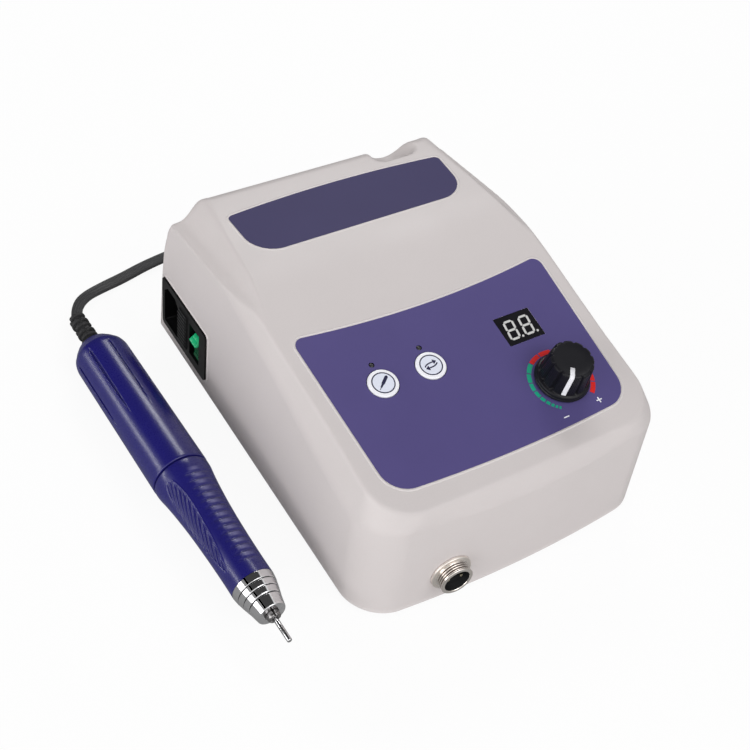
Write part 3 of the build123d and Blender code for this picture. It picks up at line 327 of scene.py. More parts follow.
# %% Moulded plastic
def moulded(name, color, grain=0.0006, depth=0.00001, rough=0.45, **fixed):
    """Moulded plastic: a fine spark-eroded grain, and a slow drift in colour and in gloss."""
    finish = Finish(name, color, **fixed)
    paint, speck = finish.mottled(color, 0.05, grain, 0.94, 1.05)
    finish.feed("Base Color", paint)
    finish.feed("Roughness", finish.noise(finish.place(), 0.02) * 0.12 + (rough - 0.06))
    return finish.bump(speck, depth)


print("moulded finish ready")

# %% [markdown]
# ## The case's form as one formula
# The case is a moulding with a sloping panel, a hump behind it, a bevel all round and a scoop in
# its rear edge. Cutting such a form from blocks leaves hard edges. Here each face is a distance,
# negative inside, and a soft maximum joins them, so every edge comes out rounded by the amount
# that its join is given.

# %% Sizes of the case (millimetres from the middle of its foot)
BOX_AT = np.array((27.9, 0.977, 2.0))
HALF, DEPTH, BOW, LEAN = 81.0, 106.7, 5.1, tan(radians(1.33))
PLAN_CORNER, BACK_CORNER = 19.0, 3.0
PANEL_TILT, PANEL_Y, PANEL_Z = radians(11.71), -9.4, 85.22
PANEL_FALL = tan(PANEL_TILT)
DECK_Y, DECK_Z, DECK_FALL = 36.0, 90.9, tan(radians(0.9))
SHOULDER_Y, SHOULDER_Z, SHOULDER_FALL = 92.2, 76.6, tan(radians(6.5))
SIDE_BEVEL, FRONT_BEVEL, BEVEL_CORNER = radians(24.5), radians(30.0), 18.0
BEVEL_REAR, BEVEL_FRONT, BEVEL_END, BEVEL_BOW = 75.0, 73.6, 97.2, 1.6
SCOOP_X, SCOOP_Y, SCOOP_RADIUS, SCOOP_DEEP, SCOOP_NOSE = 41.5, 77.5, 13.0, 8.6, 6.0
SCOOP_Z = DECK_Z + SCOOP_RADIUS - SCOOP_DEEP
PANEL_JOIN, SHOULDER_JOIN, BEVEL_JOIN, WALL_JOIN, SCOOP_JOIN = 1.8, 2.5, 1.3, 1.4, 2.2
TOP_SHARE, FAR_INSIDE = 0.98, -99.0
BACK_PROFILE = np.array([(0, 106.7), (34.5, 104), (54, 101.3), (70, 96.3), (76.6, 92.4),
                         (82, 91.6), (120, 91.2)])
FLANK = np.array([(61, 15.2), (63.5, 14.6), (66, 12.4), (68.2, 9.0), (69.9, 5.8), (71.6, 2.8),
                  (73.4, 0.9), (75.5, 0.0), (90, 0.0)])
print("case", 2 * HALF, "wide and", round(2 * DEPTH, 1), "deep")

# %% [markdown]
# Two faces of a moulding meet in a soft curve or in an edge of a known radius. A Bevel modifier
# could round a finished block, but not by an amount that changes along an edge, so the joins are
# part of the formula.


# %% Rounded joins
def soft_max(a, b, width):
    """The larger of two distances, with a rounded join: max + (width - |a - b|)^2 / 4 width."""
    step = np.clip(width - abs(a - b), 0, None)
    return np.maximum(a, b) + step * step / (4 * width)


def round_max(a, b, radius):
    """Two faces that meet in an edge of a given radius: the length of (a + r, b + r), less r."""
    outside = np.hypot(np.clip(a + radius, 0, None), np.clip(b + radius, 0, None))
    return outside + np.minimum(np.maximum(a, b) + radius, 0) - radius


def averaged(at, table, reach=2.4):
    """A curve through a table of points, eased by averaging it over a few millimetres."""
    shifts = np.linspace(-reach, reach, 9)
    return sum(np.interp(at + shift, table[:, 0], table[:, 1]) for shift in shifts) / len(shifts)


print("join of two faces", round(float(soft_max(0.0, 0.0, WALL_JOIN)), 2), "mm")

# %% [markdown]
# The real walls lean in a little, so that the case could leave its mould, and the front bows out.
# The bevel is the pale frame round the panel. Both are measured square to the face, which keeps
# the joins equally wide.


# %% Distances to the walls and the bevel
def plan_distance(x, y, z):
    """How far outside the leaning walls: straight sides, a bowed front, rounded front corners."""
    lean = z * LEAN
    bow_radius = (HALF ** 2 + BOW ** 2) / (2 * BOW)
    side = abs(x) - HALF + lean
    front = np.hypot(x, y + DEPTH + BOW - bow_radius) - bow_radius + lean
    return round_max(side, np.where(y < 0, front, FAR_INSIDE), PLAN_CORNER)


def panel_run(y):
    """How far down the panel a point lies, from the panel's upper edge."""
    return (PANEL_Y - y) / cos(PANEL_TILT)


def bevel_distance(x, y, z):
    """How far outside the bevel round the panel, which leans out as it goes down."""
    down = (PANEL_Z + PANEL_FALL * y - z) * cos(PANEL_TILT)
    run = panel_run(y)
    wide = np.interp(run, (0, 47), (BEVEL_REAR, BEVEL_FRONT))
    side = (abs(x) - wide - down * tan(SIDE_BEVEL)) * cos(SIDE_BEVEL)
    end = BEVEL_END + BEVEL_BOW * (1 - (x / BEVEL_FRONT) ** 2)
    front = (run - end - down * tan(FRONT_BEVEL)) * cos(FRONT_BEVEL)
    return round_max(side, front, BEVEL_CORNER)


print("bevel is", round(float(-bevel_distance(0.0, 0.0, PANEL_Z)), 1), "mm from the middle")

# %% [markdown]
# The top is a height over the plan, so it is written as one: the panel and the deck joined softly,
# and the lower of that and the flanks. The scoop is a roller that is taken out.


# %% The top, the scoop and the whole case
def top_height(x, y):
    """The panel's plane, an easy bend up to the deck, and flanks that fall to the shoulders."""
    panel = PANEL_Z + PANEL_FALL * y
    deck = DECK_Z + DECK_FALL * (y - DECK_Y)
    over = -soft_max(-panel, -deck, PANEL_JOIN)
    shoulder = SHOULDER_Z + (SHOULDER_Y - y) * SHOULDER_FALL + averaged(abs(x), FLANK)
    return -soft_max(-over, -shoulder, SHOULDER_JOIN)


def scoop_distance(x, y, z):
    """How far outside the scoop's roller: a cylinder along y with a rounded front end."""
    radial = np.hypot(x - SCOOP_X, z - SCOOP_Z) - SCOOP_RADIUS
    return round_max(radial, SCOOP_Y - y, SCOOP_NOSE)


def case_distance(x, y, z):
    """The whole case: negative inside, zero on its surface."""
    back = y - averaged(z, BACK_PROFILE)
    rear_edge = np.interp(abs(x), (60, 76), (8.5, 2.0))
    form = round_max((z - top_height(x, y)) * TOP_SHARE, back, rear_edge)
    form = soft_max(form, bevel_distance(x, y, z), BEVEL_JOIN)
    walls = round_max(plan_distance(x, y, z), back, BACK_CORNER)
    form = soft_max(form, walls, WALL_JOIN)
    return soft_max(form, -scoop_distance(x, y, z), SCOOP_JOIN)


print("deck height", round(float(top_height(0.0, 60.0)), 2), "mm")

# %% [markdown]
# ## The case's surface
# Rays leave the inside of the case and stop where the formula is zero. Columns go round the
# footprint. Rows go up the wall, turn over the rim, and run in across the top to the middle.


# %% Rays to the surface
def last_inside(outside, reach, halvings):
    """The longest reach that is still inside, found by halving the interval again and again."""
    near, far = 0 * reach, reach
    for _ in range(halvings):
        middle = (near + far) / 2
        past = outside(middle)
        near, far = np.where(past, near, middle), np.where(past, middle, far)
    return near


def footprint_loop(count):
    """Points evenly spaced round the footprint, from the middle of the back."""
    angle = np.linspace(0, 2 * pi, 6000, endpoint=False)
    way = np.stack([np.sin(angle), np.cos(angle)])

    def outside(reach):
        """True where a point at this reach is past the footprint."""
        x, y = way * reach
        return round_max(plan_distance(x, y, 0 * x), y - DEPTH, BACK_CORNER) > 0

    loop = (way * last_inside(outside, np.full_like(angle, 200.0), 40)).T
    closed = np.vstack([loop, loop[:1]])
    along = np.concatenate([[0], np.cumsum(np.hypot(*np.diff(closed, axis=0).T))])
    at = np.linspace(0, along[-1], count, endpoint=False)
    return np.stack([np.interp(at, along, line) for line in closed.T], axis=1)


def cast(start, way):
    """Where rays from inside leave the case."""
    def outside(reach):
        """True where a point at this reach is past the surface."""
        return case_distance(*np.moveaxis(start + way * reach[..., None], -1, 0)) > 0

    reach = last_inside(outside, np.full(start.shape[:-1], 70.0), 34)
    return start + way * reach[..., None]


def surface_normals(points):
    """The formula's gradient, which points straight out of the surface."""
    def level(shift):
        """The formula's value at the points, moved by a shift."""
        return case_distance(*np.moveaxis(points + shift, -1, 0))

    normal = np.stack([level(shift) - level(-shift) for shift in np.eye(3) * 0.02], axis=-1)
    return normal / np.linalg.norm(normal, axis=-1, keepdims=True)


print("footprint starts at", footprint_loop(8)[0].round(1))

# %% [markdown]
# The rays start on a ring well inside the case, so that each meets the surface once. More rows go
# round the rim than up the walls, because that is where the form turns.

# %% The case's points
columns, wall_rows, rim_rows, top_rows = ((760, 14, 44, 48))
START_SHARE, START_DROP = 0.27, 26.0
outer = footprint_loop(columns)
spine = np.stack([0 * outer[:, 0], np.clip(outer[:, 1] * 0.30, -30, 30)], axis=1)
inward = outer + (spine - outer) * START_SHARE
rim_z = top_height(*inward.T) - START_DROP
flat_way = (outer - inward) / np.linalg.norm(outer - inward, axis=1, keepdims=True)

heights = (np.linspace(0, 1, wall_rows, endpoint=False)[:, None] * rim_z)[..., None]
wall_start = np.concatenate([np.broadcast_to(inward, (wall_rows, columns, 2)), heights], axis=2)
wall_way = np.concatenate([np.broadcast_to(flat_way, (wall_rows, columns, 2)), 0 * heights], axis=2)

turn = np.linspace(0, pi / 2, rim_rows, endpoint=False)[:, None, None]
rim_start = np.broadcast_to(np.column_stack([inward, rim_z]), (rim_rows, columns, 3))
rim_up = np.broadcast_to(np.sin(turn), (rim_rows, columns, 1))
rim_way = np.concatenate([np.cos(turn) * flat_way, rim_up], axis=2)

top_plan = inward + (spine - inward) * np.linspace(0, 1, top_rows)[:, None, None]
top_level = np.broadcast_to(rim_z[:, None], (top_rows, columns, 1))
top_start = np.concatenate([top_plan, top_level], axis=2)
top_way = np.broadcast_to(np.array((0.0, 0.0, 1.0)), top_start.shape)

skin = cast(np.concatenate([wall_start, rim_start, top_start]),
            np.concatenate([wall_way, rim_way, top_way]))
print("case surface", skin.shape, "top at", round(float(skin[..., 2].max()), 2))

# %% [markdown]
# ## Openings in the case
# The sockets and the controls pass through the wall, so the faces under them are left out. Each
# opening is a little smaller than the piece that covers it, which hides the stepped edge. The
# bottom edge is turned in to show the wall's thickness.


# %% Places on the panel
PANEL_TOP = np.array((0, PANEL_Y, 83.27))
PANEL_IN = np.array((0, -cos(PANEL_TILT), -sin(PANEL_TILT)))
PANEL_UP = np.array((0, -sin(PANEL_TILT), cos(PANEL_TILT)))
BUTTONS = {"start": (-40.4, 36.0), "direction": (-15.4, 36.0)}
LAMPS = [(x, v - 10.5) for x, v in BUTTONS.values()]
DISPLAY, DISPLAY_SIZE = (35.55, 33.15), (20.1, 16.1)
KNOB = (38.0, 65.4)
INLET_AT, INLET_HALF, INLET_LOW, INLET_HIGH = (73.45, 23.35), 23.4, 9.4, 37.2
PORT_HOLE, PORT_RADIUS = (-38.4, 16.8), 8.2
ON_TOP, AT_LEFT, IN_FRONT = 52, -70, -100
ROUND_HOLES = [(BUTTONS["start"], 8.4), (BUTTONS["direction"], 8.4), (LAMPS[0], 2.0),
               (LAMPS[1], 2.0), (KNOB, 6.8)]


def world(points):
    """Box millimetres to metres in the shared frame."""
    return (np.asarray(points, dtype=float) + BOX_AT) * MM


def on_panel(across, down, up=0.0):
    """Box millimetres of a point on the panel: across, down the slope, and up from its face."""
    across, down, up = np.broadcast_arrays(across, down, up)
    return (PANEL_TOP + across[..., None] * np.array((1.0, 0, 0)) + down[..., None] * PANEL_IN
            + up[..., None] * PANEL_UP)


def opened(middles):
    """True for the faces that lie under a control or a socket."""
    x, y, z = middles.T
    run = panel_run(y)
    wide, tall = DISPLAY_SIZE[0] / 2 + 0.2, DISPLAY_SIZE[1] / 2 + 0.2
    gone = (abs(x - DISPLAY[0]) < wide) & (abs(run - DISPLAY[1]) < tall)
    for spot, radius in ROUND_HOLES:
        gone |= np.hypot(x - spot[0], run - spot[1]) < radius
    inlet = (abs(y - INLET_AT[0]) < INLET_HALF) & (z > INLET_LOW) & (z < INLET_HIGH)
    port = np.hypot(x - PORT_HOLE[0], z - PORT_HOLE[1]) < PORT_RADIUS
    return (gone & (z > ON_TOP)) | (inlet & (x < AT_LEFT)) | (port & (y < IN_FRONT))


print("knob's middle at", world(on_panel(*KNOB)).round(4))

# %% [markdown]
# The grid gets a lip below that is turned in by the wall's thickness, and loses the faces under
# its openings. Its normals come from the formula, because they shade wide soft faces more evenly
# than averages of quads do.

# %% Case mesh
WALL, LIP_TALL = 2.6, 4.0
lip_out = skin[0] * (1, 1, 0)
lip_in = lip_out - np.column_stack([flat_way, 0 * rim_z]) * WALL
lip_deep = lip_in + (0, 0, LIP_TALL)
grid = np.concatenate([[lip_deep], [lip_in], [lip_out], skin])
quads = grid_faces(len(grid), columns, wrap_columns=True)[:, ::-1]
quads = quads[~opened(grid.reshape(-1, 3)[quads].mean(axis=1))]
shell_mesh = mesh_of("case_shell", world(grid.reshape(-1, 3)), quads)
normals = np.concatenate([np.broadcast_to((0.0, 0, -1), (3, columns, 3)), surface_normals(skin)])
shell_mesh.normals_split_custom_set_from_vertices(normals.reshape(-1, 3).astype(np.float32))
case_shell = settle(put(shell_mesh, "case_shell"), "root", "shell_plastic", "upper_shell")
shell_finish = moulded("shell_plastic", (0.63, 0.585, 0.58), grain=0.0007, depth=0.000012,
                       rough=0.42, specular_ior_level=0.35)
wear(case_shell, shell_finish)
print("case shell", len(quads), "faces")

# %% [markdown]
# ## Floor and light
# A pale floor keeps the object's soft shadow. Large soft lamps stand above and to the sides, and
# the world gives the even part of the light. The world has dark parts as well, behind the object
# and at its right, because gloss and bright metal need something dark to show.


# %% Stage and lamps
def stage_floor():
    """A wide square under the object. Seen directly it is nearly white, and in gloss it is dim."""
    corners = np.array([(-1, -1, 0), (1, -1, 0), (1, 1, 0), (-1, 1, 0)]) * 6.0
    floor = put(mesh_of("floor", corners, np.array([[0, 1, 2, 3]]), smooth=False), "floor")
    paper = Finish("floor_paper", (0.9, 0.9, 0.9), roughness=0.9)
    surface = Wire(paper, paper.shader.outputs[0])
    for ray, share, grey in (("Is Camera Ray", 0.93, 1.0), ("Is Glossy Ray", 0.8, 0.2)):
        glow = paper.node("ShaderNodeEmission", {}, {"Color": (grey, grey, grey, 1)})
        factor = paper.node("ShaderNodeLightPath", {}, {}, ray) * share
        surface = paper.node("ShaderNodeMixShader", {}, {0: factor, 1: surface, 2: glow})
    output = paper.tree.nodes["Material Output"]
    paper.tree.links.new(surface.socket, output.inputs["Surface"])
    wear(floor, paper)


def stage_sky():
    """Even white light, less from behind in the middle and at the left, and less from the right."""
    studio = bpy.data.worlds.new("studio")
    studio.use_nodes = True
    bpy.context.scene.world = studio
    sky = Graph(studio.node_tree)
    x, y, z = sky.split(sky.place("Generated"))
    # side runs across the view behind the object, and each step below darkens one stretch of it.
    side = x * 0.974 + z * 0.225
    behind, right = y.above(-0.4, 5), x.above(0.6, 5)
    centre, left = abs(side - 0.14).below(0.62, 12), side.below(-0.35, 8)
    level = 0.96 - behind * (centre * 0.9 + left * 0.66) - right * 0.7
    seen = sky.node("ShaderNodeLightPath", {}, {}, "Is Camera Ray")
    background = sky.tree.nodes["Background"]
    background.inputs["Color"].default_value = (1, 1, 1, 1)
    sky.tree.links.new((level + seen * (1 - level)).socket, background.inputs["Strength"])


def lamp(name, place, aim, size, watts, roll=0):
    """A soft lamp of a width and a height that points at a spot, turned about that line."""
    data = bpy.data.lights.new(name, "AREA")
    data.shape = "RECTANGLE"
    data.size, data.size_y = size
    data.energy = watts
    thing = bpy.data.objects.new(name, data)
    way = Vector(aim) - Vector(place)
    aimed = way.to_track_quat("-Z", "Y").to_matrix().to_4x4()
    thing.matrix_world = Matrix.Translation(place) @ aimed @ Matrix.Rotation(radians(roll), 4, "Z")
    bpy.context.scene.collection.objects.link(thing)


stage_floor()
stage_sky()
lamp("strip", (0.454, 0.682, 0.849), (-0.095, 0, 0.014), (0.14, 0.6), 3.8, 83)
lamp("left", (-1.06, 0.63, 0.35), (-0.095, 0, 0.02), (0.5, 0.12), 1.9)
lamp("front", (0.25, -0.9, 1.1), (0, 0, 0.05), (0.8, 0.8), 5.2)
lamp("fill", (-1.25, -0.2, 0.45), (-0.05, 0, 0.04), (1.1, 0.7), 6.8)
bpy.context.scene.view_settings.view_transform = "Standard"
print("stage ready")

# %% [markdown]
# ## Flat cut shapes and beads
# Labels, printed marks and the sockets' flanges are flat sheets with holes. A filled curve with
# several closed outlines gives such a sheet with clean holes, and is made a mesh before it is laid
# on its face. A bead is a small profile carried round an outline.


# %% Outlines
def rounded(corners, radii, fine=9, straight=14):
    """An outline through corners: each is swapped for an arc, with points on the runs between."""
    corners = np.asarray(corners, dtype=float)
    before, after = np.roll(corners, 1, axis=0), np.roll(corners, -1, axis=0)
    arcs = []
    share = np.linspace(0, 1, fine)[:, None]
    for spot, last, following, radius in zip(corners, before, after, radii):
        one = (last - spot) / np.linalg.norm(last - spot)
        two = (following - spot) / np.linalg.norm(following - spot)
        half = np.arccos(np.clip(one @ two, -1, 1)) / 2
        middle = spot + (one + two) / np.linalg.norm(one + two) * radius / np.sin(half)
        start, end = spot + one * radius / np.tan(half), spot + two * radius / np.tan(half)
        arc = (start - middle) * (1 - share) + (end - middle) * share
        arcs.append(middle + arc / np.linalg.norm(arc, axis=1, keepdims=True) * radius)
    steps = np.linspace(0, 1, straight + 2)[1:-1, None]
    runs = [one[-1] + (two[0] - one[-1]) * steps for one, two in zip(arcs, arcs[1:] + arcs[:1])]
    return np.vstack([piece for pair in zip(arcs, runs) for piece in pair])


def oblong(middle, wide, tall, radius, fine=5, straight=2):
    """A rectangle with rounded corners about a middle."""
    corners = np.array([(-1, -1), (1, -1), (1, 1), (-1, 1)]) * (wide / 2, tall / 2)
    return rounded(middle + corners, (radius,) * 4, fine, straight)


def circle(middle, radius, count=72):
    """Points round a circle."""
    angle = np.linspace(0, 2 * pi, count, endpoint=False)
    return middle + radius * np.stack([np.cos(angle), np.sin(angle)], axis=1)


print("outline of", len(oblong((0, 0), 20, 10, 2)), "points")

# %% [markdown]
# Blender fills a flat curve with faces and cuts its holes by itself, which would be long work by
# hand. The mesh it makes is then laid on the panel, the deck or a wall by a function that knows
# that face.


# %% Sheets and beads
def drawn(curve):
    """The mesh that Blender makes of a curve, and its points."""
    holder = bpy.data.objects.new(curve.name, curve)
    mesh = bpy.data.meshes.new_from_object(holder)
    mesh.name = curve.name
    bpy.data.objects.remove(holder)
    points = np.empty(len(mesh.vertices) * 3)
    mesh.vertices.foreach_get("co", points)
    return mesh, points.reshape(-1, 3)


def sheet_piece(name, outlines, low, high, place, finish, edge=0.0):
    """A flat sheet from low to high above a face. Outlines inside an outline are holes."""
    curve = bpy.data.curves.new(name, "CURVE")
    curve.dimensions = "2D"
    curve.fill_mode = "BOTH"
    curve.extrude = (high - low) / 2 - edge
    curve.bevel_depth = edge
    curve.bevel_resolution = 2
    curve.offset = -edge
    for outline in outlines:
        spline = curve.splines.new("POLY")
        spline.points.add(len(outline) - 1)
        flat = np.column_stack([outline, np.zeros(len(outline)), np.ones(len(outline))])
        spline.points.foreach_set("co", flat.ravel())
        spline.use_cyclic_u = True
    mesh, points = drawn(curve)
    laid = world(place(points[:, 0], points[:, 1], points[:, 2] + (low + high) / 2))
    mesh.vertices.foreach_set("co", laid.astype(np.float32).ravel())
    close_seams(mesh)
    mesh.polygons.foreach_set("use_smooth", np.zeros(len(mesh.polygons), dtype=bool))
    mesh.update()
    return wear(put(mesh, name), finish)


def bead_piece(name, outline, profile, place, finish):
    """A profile of (outward, up) points carried round a closed outline."""
    ahead, behind = np.roll(outline, -1, axis=0), np.roll(outline, 1, axis=0)
    way = ahead - behind
    way /= np.linalg.norm(way, axis=1, keepdims=True)
    turn = np.sign(np.sum(outline[:, 0] * ahead[:, 1] - outline[:, 1] * ahead[:, 0]))
    out = np.stack([way[:, 1], -way[:, 0]], axis=1) * turn
    profile = np.asarray(profile, dtype=float)
    flat = outline[None] + out[None] * profile[:, 0, None, None]
    up = np.broadcast_to(profile[:, 1, None], flat.shape[:2])
    grid = world(place(flat[..., 0], flat[..., 1], up))
    return wear(grid_piece(name, grid, wrap_columns=True), finish)


print("sheets and beads ready")

# %% [markdown]
# ## The two labels
# Each label is a printed film in a shallow place of the moulding, with a fine lip round it that
# catches light; the lip's plastic is also made paler than the shell, a painted highlight.
# The lower one hollows at its top edge and bows at its foot, so a plain rounded outline is drawn
# and then bent by a formula. Its controls pass through true holes.


# %% Labels
def film(name, color):
    """Printed film: satin, with a faint mottle and a very fine grain under the gloss."""
    finish = Finish(name, color, specular_ior_level=0.12)
    paint, grain = finish.mottled(color, 0.03, 0.0004, 0.9, 1.1, share=0.7, detail=1.0)
    finish.feed("Base Color", paint)
    finish.feed("Roughness", grain * 0.1 + 0.42)
    return finish.bump(grain, 0.000006)


def lower_outline():
    """The lower label: v' = v + sag (1 - (x / 66)^2), with more sag at its top than at its foot."""
    corners = [(67.8, 0.6), (63.9, 85.2), (-63.9, 85.2), (-67.8, 0.6)]
    x, v = rounded(corners, (5, 11.5, 11.5, 5), straight=40).T
    arch = 1 - np.clip(abs(x) / 66, 0, 1) ** 2
    near_top, near_foot = np.clip(1 - v / 30, 0, 1), np.clip((v - 55) / 30, 0, 1)
    return np.stack([x, v + arch * (4.6 * near_top + 3.0 * near_foot)], axis=1)


def upper_outline():
    """The upper label on the deck: an arched rear edge and large front corners, as (x, y)."""
    corners = [(-60, 69.2), (-58.5, 39), (58.5, 39), (60, 69.2)]
    x, y = rounded(corners, (2.5, 14.5, 14.5, 2.5), straight=40).T
    arch = 1 - np.clip(abs(x) / 60, 0, 1) ** 2
    return np.stack([x, y + 3.0 * arch * np.clip((y - 50) / 19, 0, 1)], axis=1)


def on_deck(x, y, up):
    """Box millimetres of a point over the deck."""
    return np.stack(np.broadcast_arrays(x, y, top_height(x, y) + up), axis=-1)


violet = film("label_film", (0.090, 0.074, 0.218))
indigo = film("label_film_dark", (0.050, 0.043, 0.120))
holes = [circle(spot, 7.5) for spot in BUTTONS.values()]
holes += [circle(spot, 1.35, 32) for spot in LAMPS]
holes += [oblong(DISPLAY, *DISPLAY_SIZE, 0.3, 4), circle(KNOB, 6.2)]
FILM = (-0.15, 0.12)
lower_label = sheet_piece("lower_label", [lower_outline(), *holes], *FILM, on_panel, violet, 0.05)
upper_label = sheet_piece("upper_label", [upper_outline()], *FILM, on_deck, indigo, 0.05)
settle(lower_label, "root", "label_film", "control_label")
settle(upper_label, "root", "label_film", "top_label")
LIP = [(1.5, -0.25), (1.25, 0.05), (0.95, 0.24), (0.65, 0.3), (0.4, 0.22), (0.22, 0.0), (0.1, -0.2)]
# The lip is the shell's plastic made paler, a painted highlight on top of the real highlights that
# its bead catches.
lip_with_painted_highlight = moulded("shell_lip_painted_highlight", (0.68, 0.635, 0.63), grain=0.0007, depth=0.000006, rough=0.32)
for name, outline, place in (("lower_label_lip", lower_outline(), on_panel),
                             ("upper_label_lip", upper_outline(), on_deck)):
    settle(bead_piece(name, outline, LIP, place, lip_with_painted_highlight), "root", "shell_plastic")
print("labels", len(lower_label.data.polygons), len(upper_label.data.polygons))

# %% [markdown]
# ## Print on the lower label
# The speed scale is an arc of short bars that lengthen as the speed rises, green and then red,
# with a minus and a plus at its ends. Every mark is a sheet a few hundredths of a millimetre high.


# %% Printed scale
def ink(name, color):
    """Screen ink: matt, slightly uneven in cover."""
    finish = Finish(name, color, specular_ior_level=0.2)
    cover = finish.noise(finish.place(), 0.0005, 2.0)
    finish.feed("Base Color", finish.mix(cover, shades(color, 0.9), shades(color, 1.08)))
    finish.feed("Roughness", cover * 0.15 + 0.4)
    return finish.bump(cover, 0.000008)


def printed(name, outlines, low, high, finish, body="root", slot="label_film"):
    """A thin sheet of ink on the panel, or on a control that stands above it."""
    return settle(sheet_piece(name, outlines, low, high, on_panel, finish), body, slot)


def bar(middle, inner, outer, start, end):
    """A bar of a ring, between two angles in degrees from +x toward the user."""
    angle = np.radians(np.linspace(start, end, max(4, int((end - start) / 2))))
    ring = [(middle[0] + r * np.cos(a), middle[1] + r * np.sin(a))
            for r, way in ((inner, 1), (outer, -1)) for a in angle[::way]]
    return np.array(ring)


def bars(start, lengths, gap, width):
    """Bars one after another from an angle, each as long as its number of degrees."""
    starts = start + np.concatenate([[0], np.cumsum(np.array(lengths) + gap)[:-1]])
    return [bar(KNOB, SCALE_RADIUS - width(a), SCALE_RADIUS, a, a + size)
            for a, size in zip(starts, lengths)]


SCALE_RADIUS, GREEN_FROM, RED_FROM = 16.3, 124, 235.6
PRINT = (0.1, 0.16)
white_ink = ink("white_ink", (0.86, 0.86, 0.9))
green_bars = bars(GREEN_FROM, (3.6, 4.4, 5.4, 7, 9, 11.6, 14.4, 17, 19.6), 2.2,
                  lambda turn: 1.5 + 0.8 * (turn - GREEN_FROM) / 111)
red_bars = bars(RED_FROM, (23.0,) * 7, 2.3, lambda turn: 2.3)
printed("scale_green", green_bars, *PRINT, ink("green_ink", (0.012, 0.37, 0.22)))
printed("scale_red", red_bars, *PRINT, ink("red_ink", (0.68, 0.016, 0.014)))
minus = oblong((28.8, 83.2), 3.0, 0.56, 0.1, 3, 1)
long, thin = 1.5, 0.28
arm = np.array([(-long, -thin), (-thin, -thin), (-thin, -long)])
plus = (48.6, 81.6) + np.vstack([arm, arm[::-1] * (-1, 1), -arm, arm[::-1] * (1, -1)])
printed("scale_ends", [minus, plus], *PRINT, white_ink)
print("scale bars", len(green_bars), "green and", len(red_bars), "red")

# %% [markdown]
# ## Turned shapes on the panel
# Buttons, lamps and the knob are turned: a profile of (radius, height) goes round the normal of
# the panel. A function may move each point in or out as it goes round, which cuts the knob's
# flutes. The signs on the buttons are plain ones for a turning tool and for a change of direction.


# %% Turned shapes and the signs' outlines
def turned_on_panel(name, spot, profile, finish, columns=96, shape=None):
    """A profile of (radius, up) turned round a spot on the panel."""
    profile = np.asarray(profile, dtype=float)
    angle = np.linspace(0, 2 * pi, columns, endpoint=False)
    radius = np.broadcast_to(profile[:, 0, None], (len(profile), columns))
    up = np.broadcast_to(profile[:, 1, None], radius.shape)
    if shape is not None:
        radius = shape(radius, up, angle[None])
    across, down = spot[0] + radius * np.cos(angle), spot[1] + radius * np.sin(angle)
    grid = world(on_panel(across, down, up))
    return wear(grid_piece(name, grid, wrap_columns=True), finish)


def arrow(tail, bend, tip, width, head):
    """A bent arrow as an outline: a strip from the tail by the bend to the tip, and a head."""
    tail, bend, tip = (np.array(point, dtype=float) for point in (tail, bend, tip))
    share = np.linspace(0, 1, 14)[:, None]
    line = tail * (1 - share) ** 2 + 2 * bend * share * (1 - share) + tip * share ** 2
    way = np.gradient(line, axis=0)
    way /= np.linalg.norm(way, axis=1, keepdims=True)
    side = np.stack([-way[:, 1], way[:, 0]], axis=1) * width / 2
    barb = np.array([-way[-1, 1], way[-1, 0]]) * head * 0.75
    return np.vstack([line + side, line[-1] + barb, line[-1] + way[-1] * head, line[-1] - barb,
                      (line - side)[::-1]])


def tool_mark(middle, turn):
    """A small straight handpiece as an outline: a body, a narrower grip and a fine tip."""
    half = np.array([(-4.2, 0), (-4.2, 0.3), (-3.6, 0.75), (0.4, 0.75), (0.9, 0.5), (2.6, 0.42),
                     (3.0, 0.18), (4.3, 0.14)])
    shape = np.vstack([half, half[::-1] * (1, -1)])
    return middle + shape @ np.array([(cos(turn), sin(turn)), (-sin(turn), cos(turn))])


half_turn = arrow((-3.2, 0.2), (-2.2, -1.3), (1.5, -1.15), width=0.62, head=1.8)
SIGNS = {"start": [tool_mark(BUTTONS["start"], radians(140))],
         "direction": [BUTTONS["direction"] + half_turn, BUTTONS["direction"] - half_turn]}
print("signs", {name: len(outlines) for name, outlines in SIGNS.items()})

# %% [markdown]
# Each button is a white cap with a printed disc, a ring and its sign. Above each one a small dark
# lamp sits in a hole of the label. The print is a thin sheet on the cap, so that it moves with the
# cap.

# %% Buttons and lamps
white_cap = moulded("white_plastic", (0.92, 0.92, 0.98), grain=0.0005, depth=0.000004, rough=0.3)
dark_ink = ink("dark_ink", (0.022, 0.02, 0.06))
pale_ink = ink("pale_ink", (0.76, 0.79, 0.90))
CAP = [(0, 0.78), (3.0, 0.8), (6.2, 0.82), (6.75, 0.78), (7.0, 0.66), (7.15, 0.45), (7.2, 0.2),
       (7.2, -2.2), (0, -2.2)]
for body, spot in BUTTONS.items():
    cap = turned_on_panel(f"{body}_cap", spot, CAP, white_cap)
    settle(cap, body, "white_plastic", f"{body}_button")
    ring = [circle(spot, 5.45), circle(spot, 4.9)]
    for part, outlines, low, high, finish in (("field", [circle(spot, 5.0)], 0.8, 0.835, pale_ink),
                                              ("ring", ring, 0.8, 0.86, dark_ink),
                                              ("sign", SIGNS[body], 0.82, 0.87, dark_ink)):
        printed(f"{body}_{part}", outlines, low, high, finish, body, "white_plastic")

lens = Finish("lamp_lens", (0.03, 0.03, 0.034), roughness=0.3)
lens_cloud = lens.noise(lens.place(), 0.0008)
lens.feed("Base Color", lens.mix(lens_cloud, (0.014, 0.014, 0.016), (0.045, 0.045, 0.05)))
LENS = [(0, 0.0), (0.5, -0.02), (0.9, -0.1), (1.15, -0.3), (1.2, -3.0), (0, -3.0)]
for at, spot in enumerate(LAMPS):
    stands_for = ["indicator_leds"] if at == 0 else []
    dome = turned_on_panel(f"lamp_lens_{at}", spot, LENS, lens, 32)
    settle(dome, "root", "lamp_lens", *stands_for)
print("buttons", list(BUTTONS))

